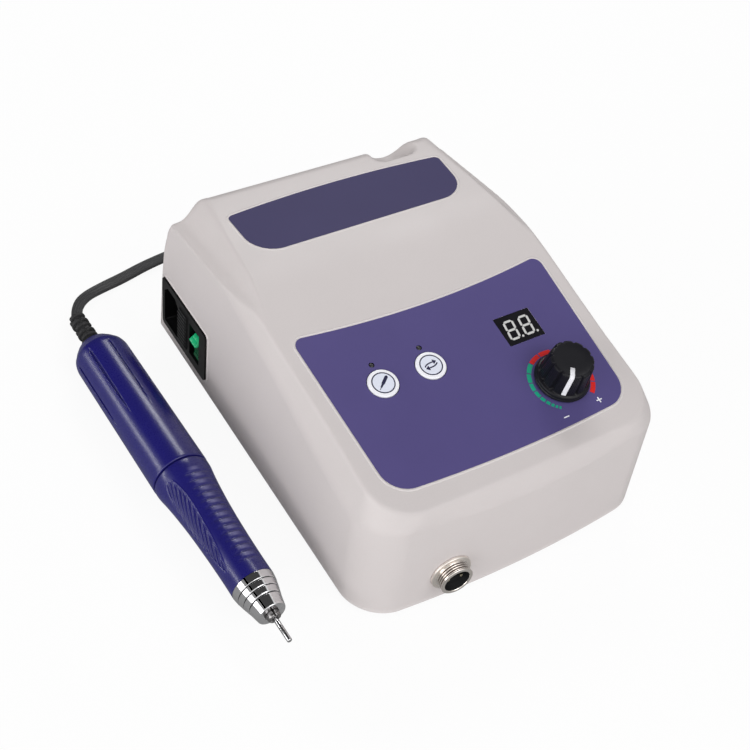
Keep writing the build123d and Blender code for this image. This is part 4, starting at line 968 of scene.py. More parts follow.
# %% [markdown]
# ## The display
# A dark window with two seven-bar figures and their points. The bars aren't lit: they are pale
# grey plastic behind the window, so they are drawn as thin sheets on it, leaning a little to the
# right.


# %% Display
def segment(start, end, width=1.15, gap=0.12):
    """One bar of a figure: a strip with pointed ends."""
    start, end = np.array(start, dtype=float), np.array(end, dtype=float)
    way = (end - start) / np.linalg.norm(end - start)
    side = np.array([-way[1], way[0]]) * width / 2
    start, end, taper = start + way * gap, end - way * gap, way * width / 2
    return np.array([start, start + taper + side, end - taper + side, end,
                     end - taper - side, start + taper - side])


def figure(middle, wide=4.7, tall=9.6, lean=0.12):
    """Seven bars and a point, as outlines, sheared to the right as they rise."""
    x0, x1, y0, ym, y1 = -wide / 2, wide / 2, -tall / 2, 0, tall / 2
    lines = [((x0, y0), (x1, y0)), ((x0, ym), (x1, ym)), ((x0, y1), (x1, y1)), ((x0, y0), (x0, ym)),
             ((x0, ym), (x0, y1)), ((x1, y0), (x1, ym)), ((x1, ym), (x1, y1))]
    shapes = [segment(*line) for line in lines] + [circle((x1 + 1.7, y1), 0.62, 20)]
    shear = np.array([(1, 0), (-lean, 1)])
    return [middle + shape @ shear for shape in shapes]


window = Finish("window_glass", (0.012, 0.012, 0.014), specular_ior_level=0.12)
smear = window.noise(window.place(), 0.006)
window.feed("Base Color", window.mix(smear, (0.006, 0.006, 0.008), (0.011, 0.010, 0.013)))
window.feed("Roughness", smear * 0.16 + 0.12)
pane_outline = oblong(DISPLAY, 20.0, 16.0, 0.3, 4)
pane = sheet_piece("display_pane", [pane_outline], -2.0, 0.02, on_panel, window, 0.05)
settle(pane, "root", "window_glass", "display_window")
digits = [outline for across in (-4.35, 4.05)
          for outline in figure((DISPLAY[0] + across, DISPLAY[1] + 0.2))]
unlit = ink("unlit_bars", (0.62, 0.62, 0.61))
printed("display_figures", digits, 0.0, 0.06, unlit, slot="window_glass")
print("display bars", len(digits))

# %% [markdown]
# ## The speed knob
# The knob is a turned body on a wider skirt. Twelve narrow flutes run down its side: the radius
# dips by a smooth pulse at each, and the pulse dies away toward the skirt. The pointer is a white
# strip that is laid over the same profile.


# %% Knob
def pulse(value, middle, width):
    """A smooth hill of height 1 at middle, about width wide."""
    return np.exp(-((value - middle) / width) ** 2)


def from_middle(angle, first, pitch):
    """Degrees from the nearest of several lines that are spaced evenly round an axis."""
    return (np.degrees(angle) - first + pitch / 2) % pitch - pitch / 2


def knob_radius(up):
    """The body's radius: it tapers from the skirt up and rounds over at the rim."""
    rim = np.sqrt(1 - np.clip((up - RIM_FROM) / RIM_RADIUS, 0, 1) ** 2)
    taper = KNOB_TAPER * np.clip((up - 4) / 12, 0, 1)
    return KNOB_RADIUS - taper - RIM_RADIUS * (1 - rim)


def fluted(radius, up, angle):
    """Flutes: dips at every 30 degrees, strongest up the side, none on the skirt or the top."""
    dip = pulse(from_middle(angle, POINTER_TURN, 30), 0, 3.4)
    fine = 0.06 * np.cos(72 * angle)
    side = np.clip((up - 3.7) / 0.8, 0, 1) * np.clip((16.7 - up) / 0.35, 0, 1) * (radius > 9)
    return radius - side * (1.05 * dip + fine)


KNOB_RADIUS, KNOB_TAPER, RIM_FROM, RIM_RADIUS, POINTER_TURN = 11.5, 1.25, 15.6, 1.0, 127
BODY = [(knob_radius(up), up) for up in np.linspace(4.0, 16.6, 44)]
KNOB_PROFILE = [(0, 0.7), (12.4, 0.7), (13.0, 0.9), (13.15, 1.3), (13.1, 1.8), (12.75, 2.05),
                (12.7, 2.3), (12.85, 2.6), (12.7, 3.3), (12.2, 3.75), (11.75, 3.9), *BODY,
                (9.0, 16.66), (8.6, 16.52), (5, 16.48), (0, 16.48)]
black_gloss = moulded("knob_gloss", (0.009, 0.009, 0.012), grain=0.0005, depth=0.000012, rough=0.33,
                      specular_ior_level=0.2)
knob = turned_on_panel("knob_body", KNOB, KNOB_PROFILE, black_gloss, 432, fluted)
settle(knob, "knob", "knob_gloss", "speed_knob")
print("knob", len(knob.data.polygons), "faces")

# %% [markdown]
# The white pointer is let into the knob: it starts near the middle of the top, bends over the rim
# and runs down the side. It is a strip of seven points across, sunk at both borders, and Solidify
# gives it a wall.

# %% Pointer
SIDE = [(knob_radius(up) + 0.14, up) for up in np.linspace(15.6, 4.9, 12)]
POINTER = np.array([(4.9, 16.62), (7.5, 16.64), (9.2, 16.8), (9.75, 16.7), (10.28, 16.2), *SIDE,
                    (11.75, 4.4)])
across = np.array([-1.0, -0.97, -0.6, 0, 0.6, 0.97, 1.0])
sink = np.array([0.45, 0.02, 0, 0, 0, 0.02, 0.45])
radius, height = POINTER[:, 0, None], POINTER[:, 1, None]
on_top = height >= 16.3
radius, height = radius - sink * ~on_top, height - sink * on_top
turn = radians(POINTER_TURN)
reach_x = KNOB[0] + radius * cos(turn) - across * sin(turn)
reach_v = KNOB[1] + radius * sin(turn) + across * cos(turn)
pointer = wear(grid_piece("knob_mark", world(on_panel(reach_x, reach_v, height))), white_ink)
pointer_wall = pointer.modifiers.new("wall", "SOLIDIFY")
pointer_wall.thickness = 0.0002
pointer_wall.offset = 0
settle(pointer, "knob", "white_plastic", "knob_pointer")
print("pointer", len(pointer.data.polygons), "faces")

# %% [markdown]
# ## The handpiece
# The handpiece is one long turned body, so its surface is a profile of (along, radius) carried
# round an axis that lies on the bench. The grooves, the ribs of the grip and the leaf of slanted
# ribs are small changes of the radius, written as functions of the place along and round.

# %% Places along the handpiece
HAND_AT = np.array((-94.8, 94.677, 14.1)) * MM
HAND_WAY = np.array((0.03141, -0.99951, 0.0))
HAND_SIDE = np.array((0.99951, 0.03141, 0.0))
UP = np.array((0.0, 0.0, 1.0))


def round_axis(start, way, side, up, along, radius, angle):
    """Points at a distance along an axis, and at a radius and an angle round it from up to side."""
    along, radius, angle = np.broadcast_arrays(along, radius, angle)
    spoke = np.cos(angle)[..., None] * up + np.sin(angle)[..., None] * side
    return start + (along[..., None] * way + radius[..., None] * spoke) * MM


def round_hand(along, radius, angle):
    """The same about the handpiece's own axis."""
    return round_axis(HAND_AT, HAND_WAY, HAND_SIDE, UP, along, radius, angle)


def turned_piece(name, profile, finish, around=round_hand, columns=240, shape=None):
    """A profile of (along, radius) turned round an axis; shape moves its points in or out."""
    profile = np.asarray(profile, dtype=float)
    angle = np.linspace(-pi, pi, columns, endpoint=False)[None]
    along = np.broadcast_to(profile[:, 0, None], (len(profile), columns))
    radius = np.broadcast_to(profile[:, 1, None], along.shape)
    if shape is not None:
        radius = shape(along, radius, angle)
    return wear(grid_piece(name, around(along, radius, angle), wrap_columns=True), finish)


def tube(start, end, radius, rows):
    """Profile points of a straight stretch, near enough together to be shaped."""
    return [(along, radius) for along in np.linspace(start, end, rows)]


def ramp(value, low, high):
    """An eased step from 0 at low to 1 at high."""
    share = np.clip((value - low) / (high - low), 0, 1)
    return share * share * (3 - 2 * share)


print("handpiece starts at", HAND_AT.round(4))

# %% [markdown]
# ## The handpiece's lacquer
# A navy lacquer on metal, with a dust of fine sparks that is only seen close by. On the grip, the
# crests of the ribs are painted paler along a strip on top, a painted highlight where a lamp's
# highlight falls. That strip is worked out inside the material, from the same lengths that shape
# the ribs.


# %% Lacquer
# The second colour is a pale lilac, a painted highlight on the grip's rib crests.
NAVY, RIB_HIGHLIGHT = (0.0105, 0.0088, 0.128), (0.13, 0.125, 0.29)
RIB_FROM, RIB_PITCH = 106.5, 3.95
# Middle and half width, in millimetres across the grip, of the strip that holds the painted
# highlight.
HIGHLIGHT_MIDDLE, HIGHLIGHT_HALF = 2.64, 3.4375


def painted_rib_highlight(finish):
    """A mask of painted highlight on the rib crests, along the strip on top: a cosine along, faded
    at its borders.
    """
    x, y = finish.from_spot(HAND_AT)[:2]
    along = x * float(HAND_WAY[0]) + y * float(HAND_WAY[1])
    across = x * float(HAND_SIDE[0]) + y * float(HAND_SIDE[1])
    crest = ((along - RIB_FROM) * (2 * pi / RIB_PITCH)).wave("COSINE") * 1.1 + 0.45
    in_highlight = abs(across - HIGHLIGHT_MIDDLE).below(HIGHLIGHT_HALF, 1 / HIGHLIGHT_HALF)
    return crest.clamp() * in_highlight * along.above(104.5, 0.5) * along.below(162, 0.5)


def lacquer(name, painted_highlight=None):
    """Satin lacquer on metal: slow clouds, a fine pale dust and a soft gloss."""
    finish = Finish(name, NAVY, specular_ior_level=0.6)
    paint, dust = finish.mottled(NAVY, 0.012, 0.00035, 0.85, 1.25)
    # On the grip the rib crests are mixed toward the pale lilac, a painted highlight.
    finish.feed("Base Color", finish.mix(painted_highlight(finish), paint, RIB_HIGHLIGHT) if painted_highlight else paint)
    finish.feed("Roughness", dust * 0.07 + 0.245)
    return finish.bump(dust, 0.000004)


navy = lacquer("navy_lacquer")
grip_navy = lacquer("grip_lacquer", painted_rib_highlight)
print("rib pitch", RIB_PITCH, "mm")

# %% [markdown]
# The rear housing holds the motor. Its end is nearly half a ball, and eight long grooves in its
# side give hold. They could be cut with eight long tools, but a dip of the radius fades out more
# softly.

# %% Rear housing
HAND_RADIUS = 14.1
tail_turn = [turn for turn in np.linspace(0, pi / 2, 26) if HAND_RADIUS * sin(turn) > 5.4]
HOUSING = [(6.0, 4.0), (1.3, 4.3), (0.5, 4.7),
           *((HAND_RADIUS - 13.9 * cos(turn), HAND_RADIUS * sin(turn)) for turn in tail_turn),
           *tube(14.1, 64, HAND_RADIUS, 72)[1:], *tube(65, 97.9, HAND_RADIUS, 14),
           (98.5, 14.08), (98.85, 13.9), (99.0, 13.6), (99.0, 11.0)]


def grooved(along, radius, angle):
    """Eight long grooves behind the middle: they start sharply and fade toward the seam."""
    off = abs(from_middle(angle, 13, 45)) * radians(1) * HAND_RADIUS
    wide = 0.25 + 0.45 * ramp(along, 13.5, 17) * (1 - ramp(along, 40, 64))
    depth = 0.85 * ramp(along, 13.8, 15.5) * (1 - ramp(along, 46, 64))
    step = 0.35 * (1 - ramp(along, 9.1, 9.5)) * (radius > 10)
    return radius - depth * (1 - ramp(off, wide - 0.25, wide + 0.15)) - step


housing = turned_piece("hand_housing", HOUSING, navy, columns=720, shape=grooved)
settle(housing, "root", "navy_lacquer", "rear_housing")
print("housing", len(housing.data.polygons), "faces")

# %% [markdown]
# The grip tapers toward the nose, and turning it opens the chuck. Ribs are pressed into its right
# side and a leaf of slanted cuts into its left. A cut is a smooth wave times a smooth mask, so it
# never tears the mesh.

# %% Grip sleeve
GRIP_FROM, GRIP_TO = 99.4, 168
GRIP_TABLE = np.array([(99.4, 13.9), (100.2, 14.05), (103.5, 13.9), (106, 13.45), (110, 12.9),
                       (115, 12.35), (124, 11.55), (133, 11.0), (146, 10.5), (157, 10.28),
                       (163, 10.25), (168, 10.3)])
grip_along = GRIP_FROM + (GRIP_TO - GRIP_FROM) * np.linspace(0, 1, 240)
grip_radius = averaged(grip_along, GRIP_TABLE, 2)
grip_radius[:3] = (12.9, 13.5, 13.75)


def rib_dips(along, turned):
    """Ribs across the right of the grip, as how deep they are cut."""
    share = (along - GRIP_FROM) / (GRIP_TO - GRIP_FROM)
    wave = 1 - ramp(abs((along - RIB_FROM) % RIB_PITCH - RIB_PITCH / 2), 0, 1.2)
    middle = np.interp(share, (0.1, 0.5, 0.9), (16, 14, 10))
    half = np.interp(share, (0.1, 0.5, 0.9), (36, 40, 38))
    mask = (1 - ramp(abs(turned - middle), half - 20, half)) * ramp(along, 105.6, 106.8)
    return 0.36 * wave * mask * (1 - ramp(along, 160.8, 161.8))


def leaf_dips(along, radius, turned):
    """A leaf of slanted ribs on the left, with a fine raised edge, as how deep it is cut."""
    share = np.clip((along - 104) / 57, 0, 1)
    half = 26 * np.sin(pi * share ** 0.8) ** 0.75 + 0.001
    off = turned - np.interp(share, (0, 0.5, 1), (-47, -58, -58))
    ends = ramp(along, 105.5, 107) * (1 - ramp(along, 157, 160))
    mask = (1 - ramp(abs(off), half - 6, half - 2)) * ends
    slant = (along + abs(off + 30) * radians(1) * radius * 1.9) / 4.4
    stroke = np.clip(np.cos(2 * pi * slant) * 1.6, -1, 1) * 0.5 + 0.5
    edge = pulse(abs(off) * radians(1) * radius, half * radians(1) * radius, 0.35)
    return 0.5 * stroke * mask - 0.18 * edge * ramp(along, 106, 108) * (1 - ramp(along, 158, 161))


def gripped(along, radius, angle):
    """The grip's surface: its radius less the cuts of the ribs and of the leaf."""
    turned = np.degrees(angle)
    return radius - rib_dips(along, turned) - leaf_dips(along, radius, turned)


grip = turned_piece("hand_grip", np.column_stack([grip_along, grip_radius]), grip_navy,
                    columns=380, shape=gripped)
settle(grip, "grip", "navy_lacquer", "grip_sleeve")
print("grip", len(grip.data.polygons), "faces")

# %% [markdown]
# ## Bright nose, collet and test pin
# The nose is polished in four steps, each with a small lip. A black core behind the steps shows in
# the gaps between them, a painted shade. The collet inside the nose is dark and slotted, and holds
# a plain steel pin.


# %% Nose
def bright_metal(name, color, rough, grain=0.002, streak=(1, 1, 1), relief=0.0000015):
    """Metal: turned or polished, with faint scratches that run with the streak."""
    finish = Finish(name, color, metallic=1.0)
    scratch = finish.noise(finish.stretched(finish.place(), streak), grain, 4.0)
    finish.feed("Base Color", finish.mix(scratch, shades(color, 0.92), shades(color, 1.05)))
    finish.feed("Roughness", scratch * rough * 0.6 + rough * 0.7)
    return finish.bump(scratch, relief)


def nose_step(start, end, wide, narrow):
    """Profile of one step: a rounded front edge, a slight taper and a small lip at its end."""
    slope = (narrow - wide) / (end - start)
    taper = [(along, wide + slope * (along - start))
             for along in np.linspace(start + 0.4, end - 0.35, 8)]
    return [(start, wide - 1.6), (start, wide - 0.2), (start + 0.06, wide - 0.06),
            (start + 0.2, wide), *taper,
            (end - 0.2, narrow - 0.02), (end - 0.06, narrow - 0.1), (end, narrow - 0.3)]


chrome = bright_metal("bright_chrome", (0.78, 0.78, 0.79), 0.07, 0.001, relief=0.0000001)
STEPS = [(168.0, 171.7, 10.3, 9.85), (172.1, 175.1, 9.65, 9.0), (175.5, 178.5, 8.85, 8.1),
         (178.95, 184.6, 7.9, 6.75)]
for at, (start, end, wide, narrow) in enumerate(STEPS):
    mouth = [(end + 0.02, narrow - 0.5), (end + 0.02, 3.85), (end - 0.1, 3.65), (end - 4, 3.65)]
    inner = mouth if at == len(STEPS) - 1 else [(end, narrow - 1.6)]
    ring = turned_piece(f"hand_nose_{at}", nose_step(start, end, wide, narrow) + inner, chrome,
                        columns=192)
    settle(ring, "grip", "bright_chrome", *(["nose_cone"] if at == 0 else []))
# A black core under the steps, a painted shade that shows in the gaps between them.
painted_gap_shade = moulded("painted_gap_shade", (0.012, 0.012, 0.013), rough=0.6)
GAP_SHADE_CORE = [(168, 4), (168, 9.0), (171.9, 8.75), (175.3, 7.9), (178.8, 7.0), (182, 6.0), (182, 4)]
gap_shade_core = turned_piece("hand_nose_gap_shade", GAP_SHADE_CORE, painted_gap_shade, columns=96)
settle(gap_shade_core, "grip", "bright_chrome")
print("nose steps", len(STEPS))

# %% [markdown]
# The collet is a dark steel sleeve that three slots split, and the pin is a plain one for testing.
# Both are simple turned shapes. The slots are narrow dips of the radius near the end only.


# %% Collet and pin
def slotted(along, radius, angle):
    """Three slots that split the collet's end."""
    off = from_middle(angle, 0, 120) * radians(1) * 3.2
    return radius - 1.4 * pulse(off, 0, 0.35) * (along > 178)


dark_steel = bright_metal("tool_steel", (0.30, 0.29, 0.29), 0.3, 0.001)
pin_steel = bright_metal("pin_steel", (0.62, 0.62, 0.63), 0.16, 0.001)
COLLET = [(174, 3.1), (178.1, 3.2), *tube(179, 186.6, 3.2, 14), (187.2, 2.95), (187.5, 2.6),
          (187.5, 1.35), (186.9, 1.2)]
PIN = [(165, 0.001), (165.2, 1.175), (199.3, 1.175), (199.75, 1.05), (199.95, 0.75), (200, 0.001)]
collet = turned_piece("hand_collet", COLLET, dark_steel, columns=180, shape=slotted)
pin = turned_piece("test_pin", PIN, pin_steel, columns=48)
settle(collet, "rotor", "tool_steel", "collet")
settle(pin, "rotor", "tool_steel", "bur")
print("pin", len(pin.data.polygons), "faces")

# %% [markdown]
# ## The tail's strain relief
# A black rubber boot with five ribs. Each rib is cut through at two sides, a quarter turn from
# those of its neighbours, so the boot bends freely.


# %% Boot
def rubber(name, color=(0.022, 0.022, 0.023), rough=0.62):
    """Soft black rubber: matt, with a bloom that varies slowly and a fine tooth."""
    finish = Finish(name, color, specular_ior_level=0.35)
    paint, tooth = finish.mottled(color, 0.015, 0.0005, 0.7, 1.6)
    finish.feed("Base Color", paint)
    finish.feed("Roughness", tooth * 0.14 + (rough - 0.07))
    return finish.bump(tooth, 0.00002)


def ribbed(along, radius, angle):
    """Ribs 3.9 mm apart: a smooth square wave, cut by two notches in each rib."""
    place = (along + 20.6) / 3.9
    number = np.floor(place)
    share = place - number
    rib = ramp(share, 0.02, 0.16) * (1 - ramp(share, 0.5, 0.66)) * (along < -0.6)
    notch = pulse(abs((angle / (pi / 2) + number) % 2 - 1), 0, 0.16)
    core = 2.6 + 0.3 * (along - BOOT_FROM) / -BOOT_FROM
    return np.where(along < BOOT_FROM - 0.1, radius, core + 1.95 * rib * (1 - 0.7 * notch))


BOOT_FROM = -21.3
black_rubber = rubber("black_rubber")
BOOT = [(-21.6, 1.0), (-21.6, 2.4), *tube(BOOT_FROM, 0.4, 3.4, 120), (6, 3.4)]
boot = turned_piece("tail_boot_ribs", BOOT, black_rubber, columns=96, shape=ribbed)
settle(boot, "root", "black_rubber", "tail_boot")
print("boot", len(boot.data.polygons))

# %% [markdown]
# ## The cord
# The cord is a flat lead of three cores. Its length and its ends come first: it leaves the boot,
# bends round to the back of the case and is put away behind it in a flat coil, with its plug
# beside the coil. One smooth spline has the whole route, the coil's turns among its points. The
# flat section is then carried along the points that Blender reads from that spline, and turns on
# edge where the coil begins.


# %% Cord route
CORD_WIDE, CORD_THICK = 7.4, 2.8
LEAD = [(-95.05, 102.68, 14.1), (-95.46, 115.67, 13.6), (-90.3, 127.5, 10.2), (-82.6, 138.0, 5.4),
        (-70.6, 144.1, 2.4), (-56.6, 147.4, 1.9), (-42.6, 151.2, 2.2), (-27.1, 152.6, 3.4),
        (-9.1, 156.5, 3.9), (14.9, 165.0, 4.1), (40.9, 173.5, 4.2), (64.9, 177.8, 4.3)]
PLUG_MOUTH = (42.0, 127.1, 9.6)
TAIL = [(103.0, 134.5, 4.9), (92.5, 128.2, 10.6), (77.7, 126.0, 13.2), (63.0, 126.6, 13.2),
        (52.0, 127.0, 9.9), PLUG_MOUTH]
COIL_AT, COIL_START, COIL_PITCH, COIL_TURNS = (89.7, 144.8, 4.3), 34.0, 2.85, 6.36
coil_turn = np.linspace(0, COIL_TURNS, 110)
coil_radius = COIL_START - COIL_PITCH * coil_turn
coil_angle = pi / 2 - 2 * pi * coil_turn
coil_way = np.stack([np.cos(coil_angle), np.sin(coil_angle), 0 * coil_angle], axis=1)
route = np.vstack([LEAD, COIL_AT + coil_radius[:, None] * coil_way, TAIL]) * MM

cord_curve = bpy.data.curves.new("cord_route", "CURVE")
cord_curve.dimensions = "3D"
cord_spline = cord_curve.splines.new("NURBS")
cord_spline.points.add(len(route) - 1)
cord_spline.points.foreach_set("co", np.column_stack([route, np.ones(len(route))]).ravel())
cord_spline.order_u = 3
cord_spline.use_endpoint_u = True
cord_spline.resolution_u = 4
cord_line = drawn(cord_curve)[1]
moved = np.linalg.norm(np.diff(cord_line, axis=0), axis=1) > 1e-6
cord_line = cord_line[np.concatenate([[True], moved])]
steps_along = np.linalg.norm(np.diff(cord_line, axis=0), axis=1)
cord_run = np.concatenate([[0], np.cumsum(steps_along)])
print("cord", round(cord_run[-1], 3), "m in", len(cord_line), "points")

# %% [markdown]
# The cord has three round cores side by side. Its section is carried along the route in a frame
# that is level with the bench, and is then turned about the route by an angle that grows from
# lying flat to standing on edge.


# %% Cord surface
def lobed(count=40):
    """The cord's section: three round cores side by side, with shallow valleys between them."""
    turn = np.linspace(0, 2 * pi, count, endpoint=False)
    wide = CORD_WIDE / 2 * np.cos(turn)
    cores = np.array([-1, 0, 1]) * (CORD_WIDE - CORD_THICK) / 2
    deep = np.clip((CORD_THICK / 2) ** 2 - (wide[:, None] - cores) ** 2, 0, None).max(axis=1)
    deep = np.maximum(np.sqrt(deep), 0.82 * (abs(wide) < 2.9))
    return wide, deep * np.sign(np.sin(turn)) * (abs(np.sin(turn)) > 1e-9)


def unit(vectors):
    """Rows of vectors, each made one unit long."""
    return vectors / np.linalg.norm(vectors, axis=1, keepdims=True)


TILT_AT, TILT = (0, 16, 34, 62, 95, 140), (0.62, 0.55, 0.12, 0.0, 0.06, 1.0)
END_RUN = 34
section_wide, section_deep = lobed()
ahead = unit(np.gradient(cord_line, axis=0))
level = unit(np.cross(ahead, UP))
rise = np.cross(level, ahead)
run_mm = cord_run / MM
left_mm = run_mm[-1] - run_mm
tilt = np.where(left_mm < END_RUN, np.interp(left_mm, (0, END_RUN), (0.6, 1.0)),
                np.interp(run_mm, TILT_AT, TILT))
on_edge = (radians(90) * tilt)[:, None]
broad = np.cos(on_edge) * level + np.sin(on_edge) * rise
thick = -np.sin(on_edge) * level + np.cos(on_edge) * rise
cord_grid = cord_line[:, None] + MM * (section_wide[None, :, None] * broad[:, None]
                                       + section_deep[None, :, None] * thick[:, None])
ends = [np.broadcast_to(cord_line[end], (1, len(section_wide), 3)) for end in (0, -1)]
cord_grid = np.concatenate([ends[0], cord_grid, ends[1]])
cord_finish = rubber("cord_rubber", (0.040, 0.040, 0.042), 0.5)
flat_cord = wear(grid_piece("flat_cord", cord_grid, wrap_columns=True), cord_finish)
settle(flat_cord, "root", "black_rubber", "cord_lead", "cord_coil", "cord_tail")
print("cord surface", len(flat_cord.data.polygons))

# %% [markdown]
# ## The cord's plug and tie
# The plug has a rubber sleeve and a loose threaded ring with a knurl of crossed ridges. A short
# nylon strap holds the coil together.


# %% Plug
def round_plug(along, radius, angle):
    """Points about the plug's axis, which runs toward -X from the cord's end."""
    start, way, side = np.array(PLUG_MOUTH) * MM, np.array((-1.0, 0, 0)), np.array((0, 1.0, 0))
    return round_axis(start, way, side, UP, along, radius, angle)


def knurled(along, radius, angle):
    """Crossed ridges: the larger of two helical waves, on the ring's outside only."""
    wave = np.maximum(np.cos(30 * angle + along * 2.4), np.cos(30 * angle - along * 2.4))
    return radius + 0.16 * wave * (radius > 9.2) * (along > 29) * (along < 44)


def waisted(along, radius, angle):
    """Shallow grip rings on the plug's sleeve, 2.5 mm apart."""
    wave = 0.5 - 0.5 * np.cos(2 * pi * (along - 16) / 2.5)
    return radius - 0.35 * wave * (along > 16) * (along < 25.9)


nickel = bright_metal("nickel_plate", (0.92, 0.85, 0.78), 0.14, 0.002)
sleeve_black = moulded("black_plastic", (0.020, 0.020, 0.021), grain=0.0005, depth=0.00002,
                       rough=0.5)
PLUG = [(0, 3.0), (0, 3.7), (0.5, 4.2), (14, 6.2), (14.6, 7.9), (15.2, 8.4),
        *tube(16, 25.4, 8.4, 48), (26.0, 8.2), (26.0, 7.9)]
RING = [(27.0, 8.6), (27.0, 9.1), (27.4, 9.45), *tube(28, 45.2, 9.4, 60), (45.8, 9.3), (46.0, 9.0),
        (46.0, 8.2), (31, 8.2)]
plug_sleeve = turned_piece("plug_sleeve", PLUG, sleeve_black, round_plug, 96, waisted)
plug_ring = turned_piece("plug_ring_knurl", RING, nickel, round_plug, 240, knurled)
settle(plug_sleeve, "root", "black_plastic")
settle(plug_ring, "ring", "nickel_plate", "plug_ring")
tie_finish = moulded("tie_nylon", (0.02, 0.02, 0.02), grain=0.0008, depth=0.00001, rough=0.35)
wear(nodes["coil_tie"], tie_finish)
wear(nodes["cord_plug"], sleeve_black)
print("plug", len(plug_ring.data.polygons))

# %% [markdown]
# ## The front socket
# A nickel-plated screw socket: a flange against the case, a thread and a black insert with two
# pins. The thread is a true helix, because the ridge's place depends on the angle as well as on
# the distance along. Below a certain radius the grooves between its ridges are a darker colour,
# a painted shade, and duller.


# %% Front socket
PORT_AT = np.array((-10.5, -109.29, 18.8)) * MM
PORT_WAY = np.array((-0.05943, -0.99796, 0.02321))
PORT_SIDE = np.cross(UP, PORT_WAY) / np.linalg.norm(np.cross(UP, PORT_WAY))
PORT_UP = np.cross(PORT_WAY, PORT_SIDE)
THREAD_PITCH, THREAD_FROM, THREAD_TO = 1.15, 1.55, 5.75
GROOVE_RADIUS, FLANGE_FROM = 7.855, 8.185


def round_port(along, radius, angle):
    """Points about the socket's axis, which leans with the wall."""
    return round_axis(PORT_AT, PORT_WAY, PORT_SIDE, PORT_UP, along, radius, angle)


def threaded(along, radius, angle):
    """A helical ridge that moves on by one pitch in each turn."""
    wave = np.cos(2 * pi * (along / THREAD_PITCH) + angle)
    on_thread = (radius > 7.8) * (along > THREAD_FROM) * (along < THREAD_TO)
    return radius - 0.3 * (1 + wave) * on_thread


def groove_shaded_nickel(name):
    """Nickel plate with painted shade in its grooves, told by their distance from the axis, and a
    dull flange.
    """
    finish = Finish(name, (0.92, 0.85, 0.78), metallic=1.0)
    x, y, z = finish.from_spot(PORT_AT)
    along = -y
    across = x - along * float(PORT_WAY[0] / -PORT_WAY[1])
    high = z - along * float(PORT_WAY[2] / -PORT_WAY[1])
    squared = across * across + high * high
    on_thread = along.above(1.5, 8) * along.below(THREAD_TO, 8)
    groove_shade = squared.below(GROOVE_RADIUS ** 2, 0.19) * on_thread
    flange_face = squared.above(FLANGE_FROM ** 2, 0.4)
    # The grooves are mixed toward a dark brown, a painted shade.
    finish.feed("Base Color", finish.mix(groove_shade, (0.96, 0.90, 0.84), (0.09, 0.05, 0.035)))
    return finish.feed("Roughness", flange_face * 0.33 + groove_shade * 0.25 + 0.13)


PORT = [(0.02, 7.4), (0.02, 9.7), (0.12, 9.95), (0.4, 10.0), (1.0, 10.0), (1.25, 9.85), (1.4, 9.5),
        (1.42, 8.1), *tube(1.5, 5.95, 8.0, 72), (6.05, 7.85), (6.25, 7.6), (6.3, 7.2), (6.3, 6.6),
        (6.2, 6.35), (5.9, 6.25), (-3.0, 6.25)]
LINER = [(5.95, 6.24), (5.8, 6.1), (2.6, 6.05), (2.4, 5.8), (2.4, 3.6), (1.2, 3.4), (1.2, 0.001)]
bore_black = moulded("bore_black", (0.008, 0.008, 0.009), grain=0.0005, depth=0.00001, rough=0.6,
                     specular_ior_level=0.15)
port_metal = groove_shaded_nickel("socket_nickel")
port_shell = turned_piece("front_socket", PORT, port_metal, round_port, 160, threaded)
port_liner = turned_piece("socket_liner", LINER, bore_black, round_port, 96)
settle(port_shell, "root", "nickel_plate", "socket_shell")
settle(port_liner, "root", "black_plastic")
print("socket thread", round((THREAD_TO - THREAD_FROM) / THREAD_PITCH, 1), "turns")

# %% [markdown]
# ## The mains inlet
# The inlet is a black moulding in the left wall: a cup for the lead, a ribbed fuse drawer and a
# green rocker. Its flange is a sheet with three holes, and each well behind a hole is an outline
# carried straight in.


# %% Mains inlet
def on_side(y, z, out):
    """Box millimetres of a point on the left wall, which leans in as it rises."""
    y, z, out = np.broadcast_arrays(y, z, out)
    return np.stack([-(HALF - z * LEAN) - out, y, z + out * LEAN], axis=-1)


def well(name, outline, deep):
    """An outline carried straight in from the flange, with a rounded mouth."""
    mouth = [(0.5, 1.5), (0.18, 1.42), (0.0, 1.1), (0.0, -deep)]
    return bead_piece(name, outline, mouth, on_side, inlet_black)


inlet_black = moulded("inlet_black", (0.0045, 0.0045, 0.005), grain=0.0006, depth=0.00002,
                      rough=0.42, specular_ior_level=0.2)
CUP_AT = (87.4, INLET_AT[1])
CUP = np.array([(-8.2, -12.2), (8.2, -12.2), (8.2, 8.2), (4.2, 12.2), (-4.2, 12.2), (-8.2, 8.2)])
cup_edge = rounded(CUP_AT + CUP, (0.8,) * 6, 4, 2)
drawer_edge = oblong((73.4, INLET_AT[1]), 9.2, 22.8, 0.5)
rocker_edge = oblong((60.4, INLET_AT[1]), 11.2, 20.8, 0.5)
flange_edge = oblong(INLET_AT, 49.9, 30.9, 2.0)
flange = sheet_piece("inlet_flange", [flange_edge, cup_edge, drawer_edge, rocker_edge], 0.02, 1.5,
                     on_side, inlet_black, 0.3)
settle(flange, "root", "black_plastic")
for name, edge, deep in (("cup", cup_edge, 15.4), ("drawer", drawer_edge, 15.0),
                         ("rocker", rocker_edge, 9.0)):
    settle(well(f"{name}_well", edge, deep), "root", "black_plastic")
wear(nodes["inlet_housing"], inlet_black)
INLET_LIP = [(1.3, -0.3), (1.1, 0.05), (0.8, 0.45), (0.45, 0.55), (0.15, 0.4), (0.1, -0.2)]
# The flange's lip takes the same paler plastic, a painted highlight.
inlet_lip = bead_piece("inlet_lip", flange_edge, INLET_LIP, on_side, lip_with_painted_highlight)
settle(inlet_lip, "root", "shell_plastic")
print("inlet", len(flange.data.polygons), "faces in the flange")

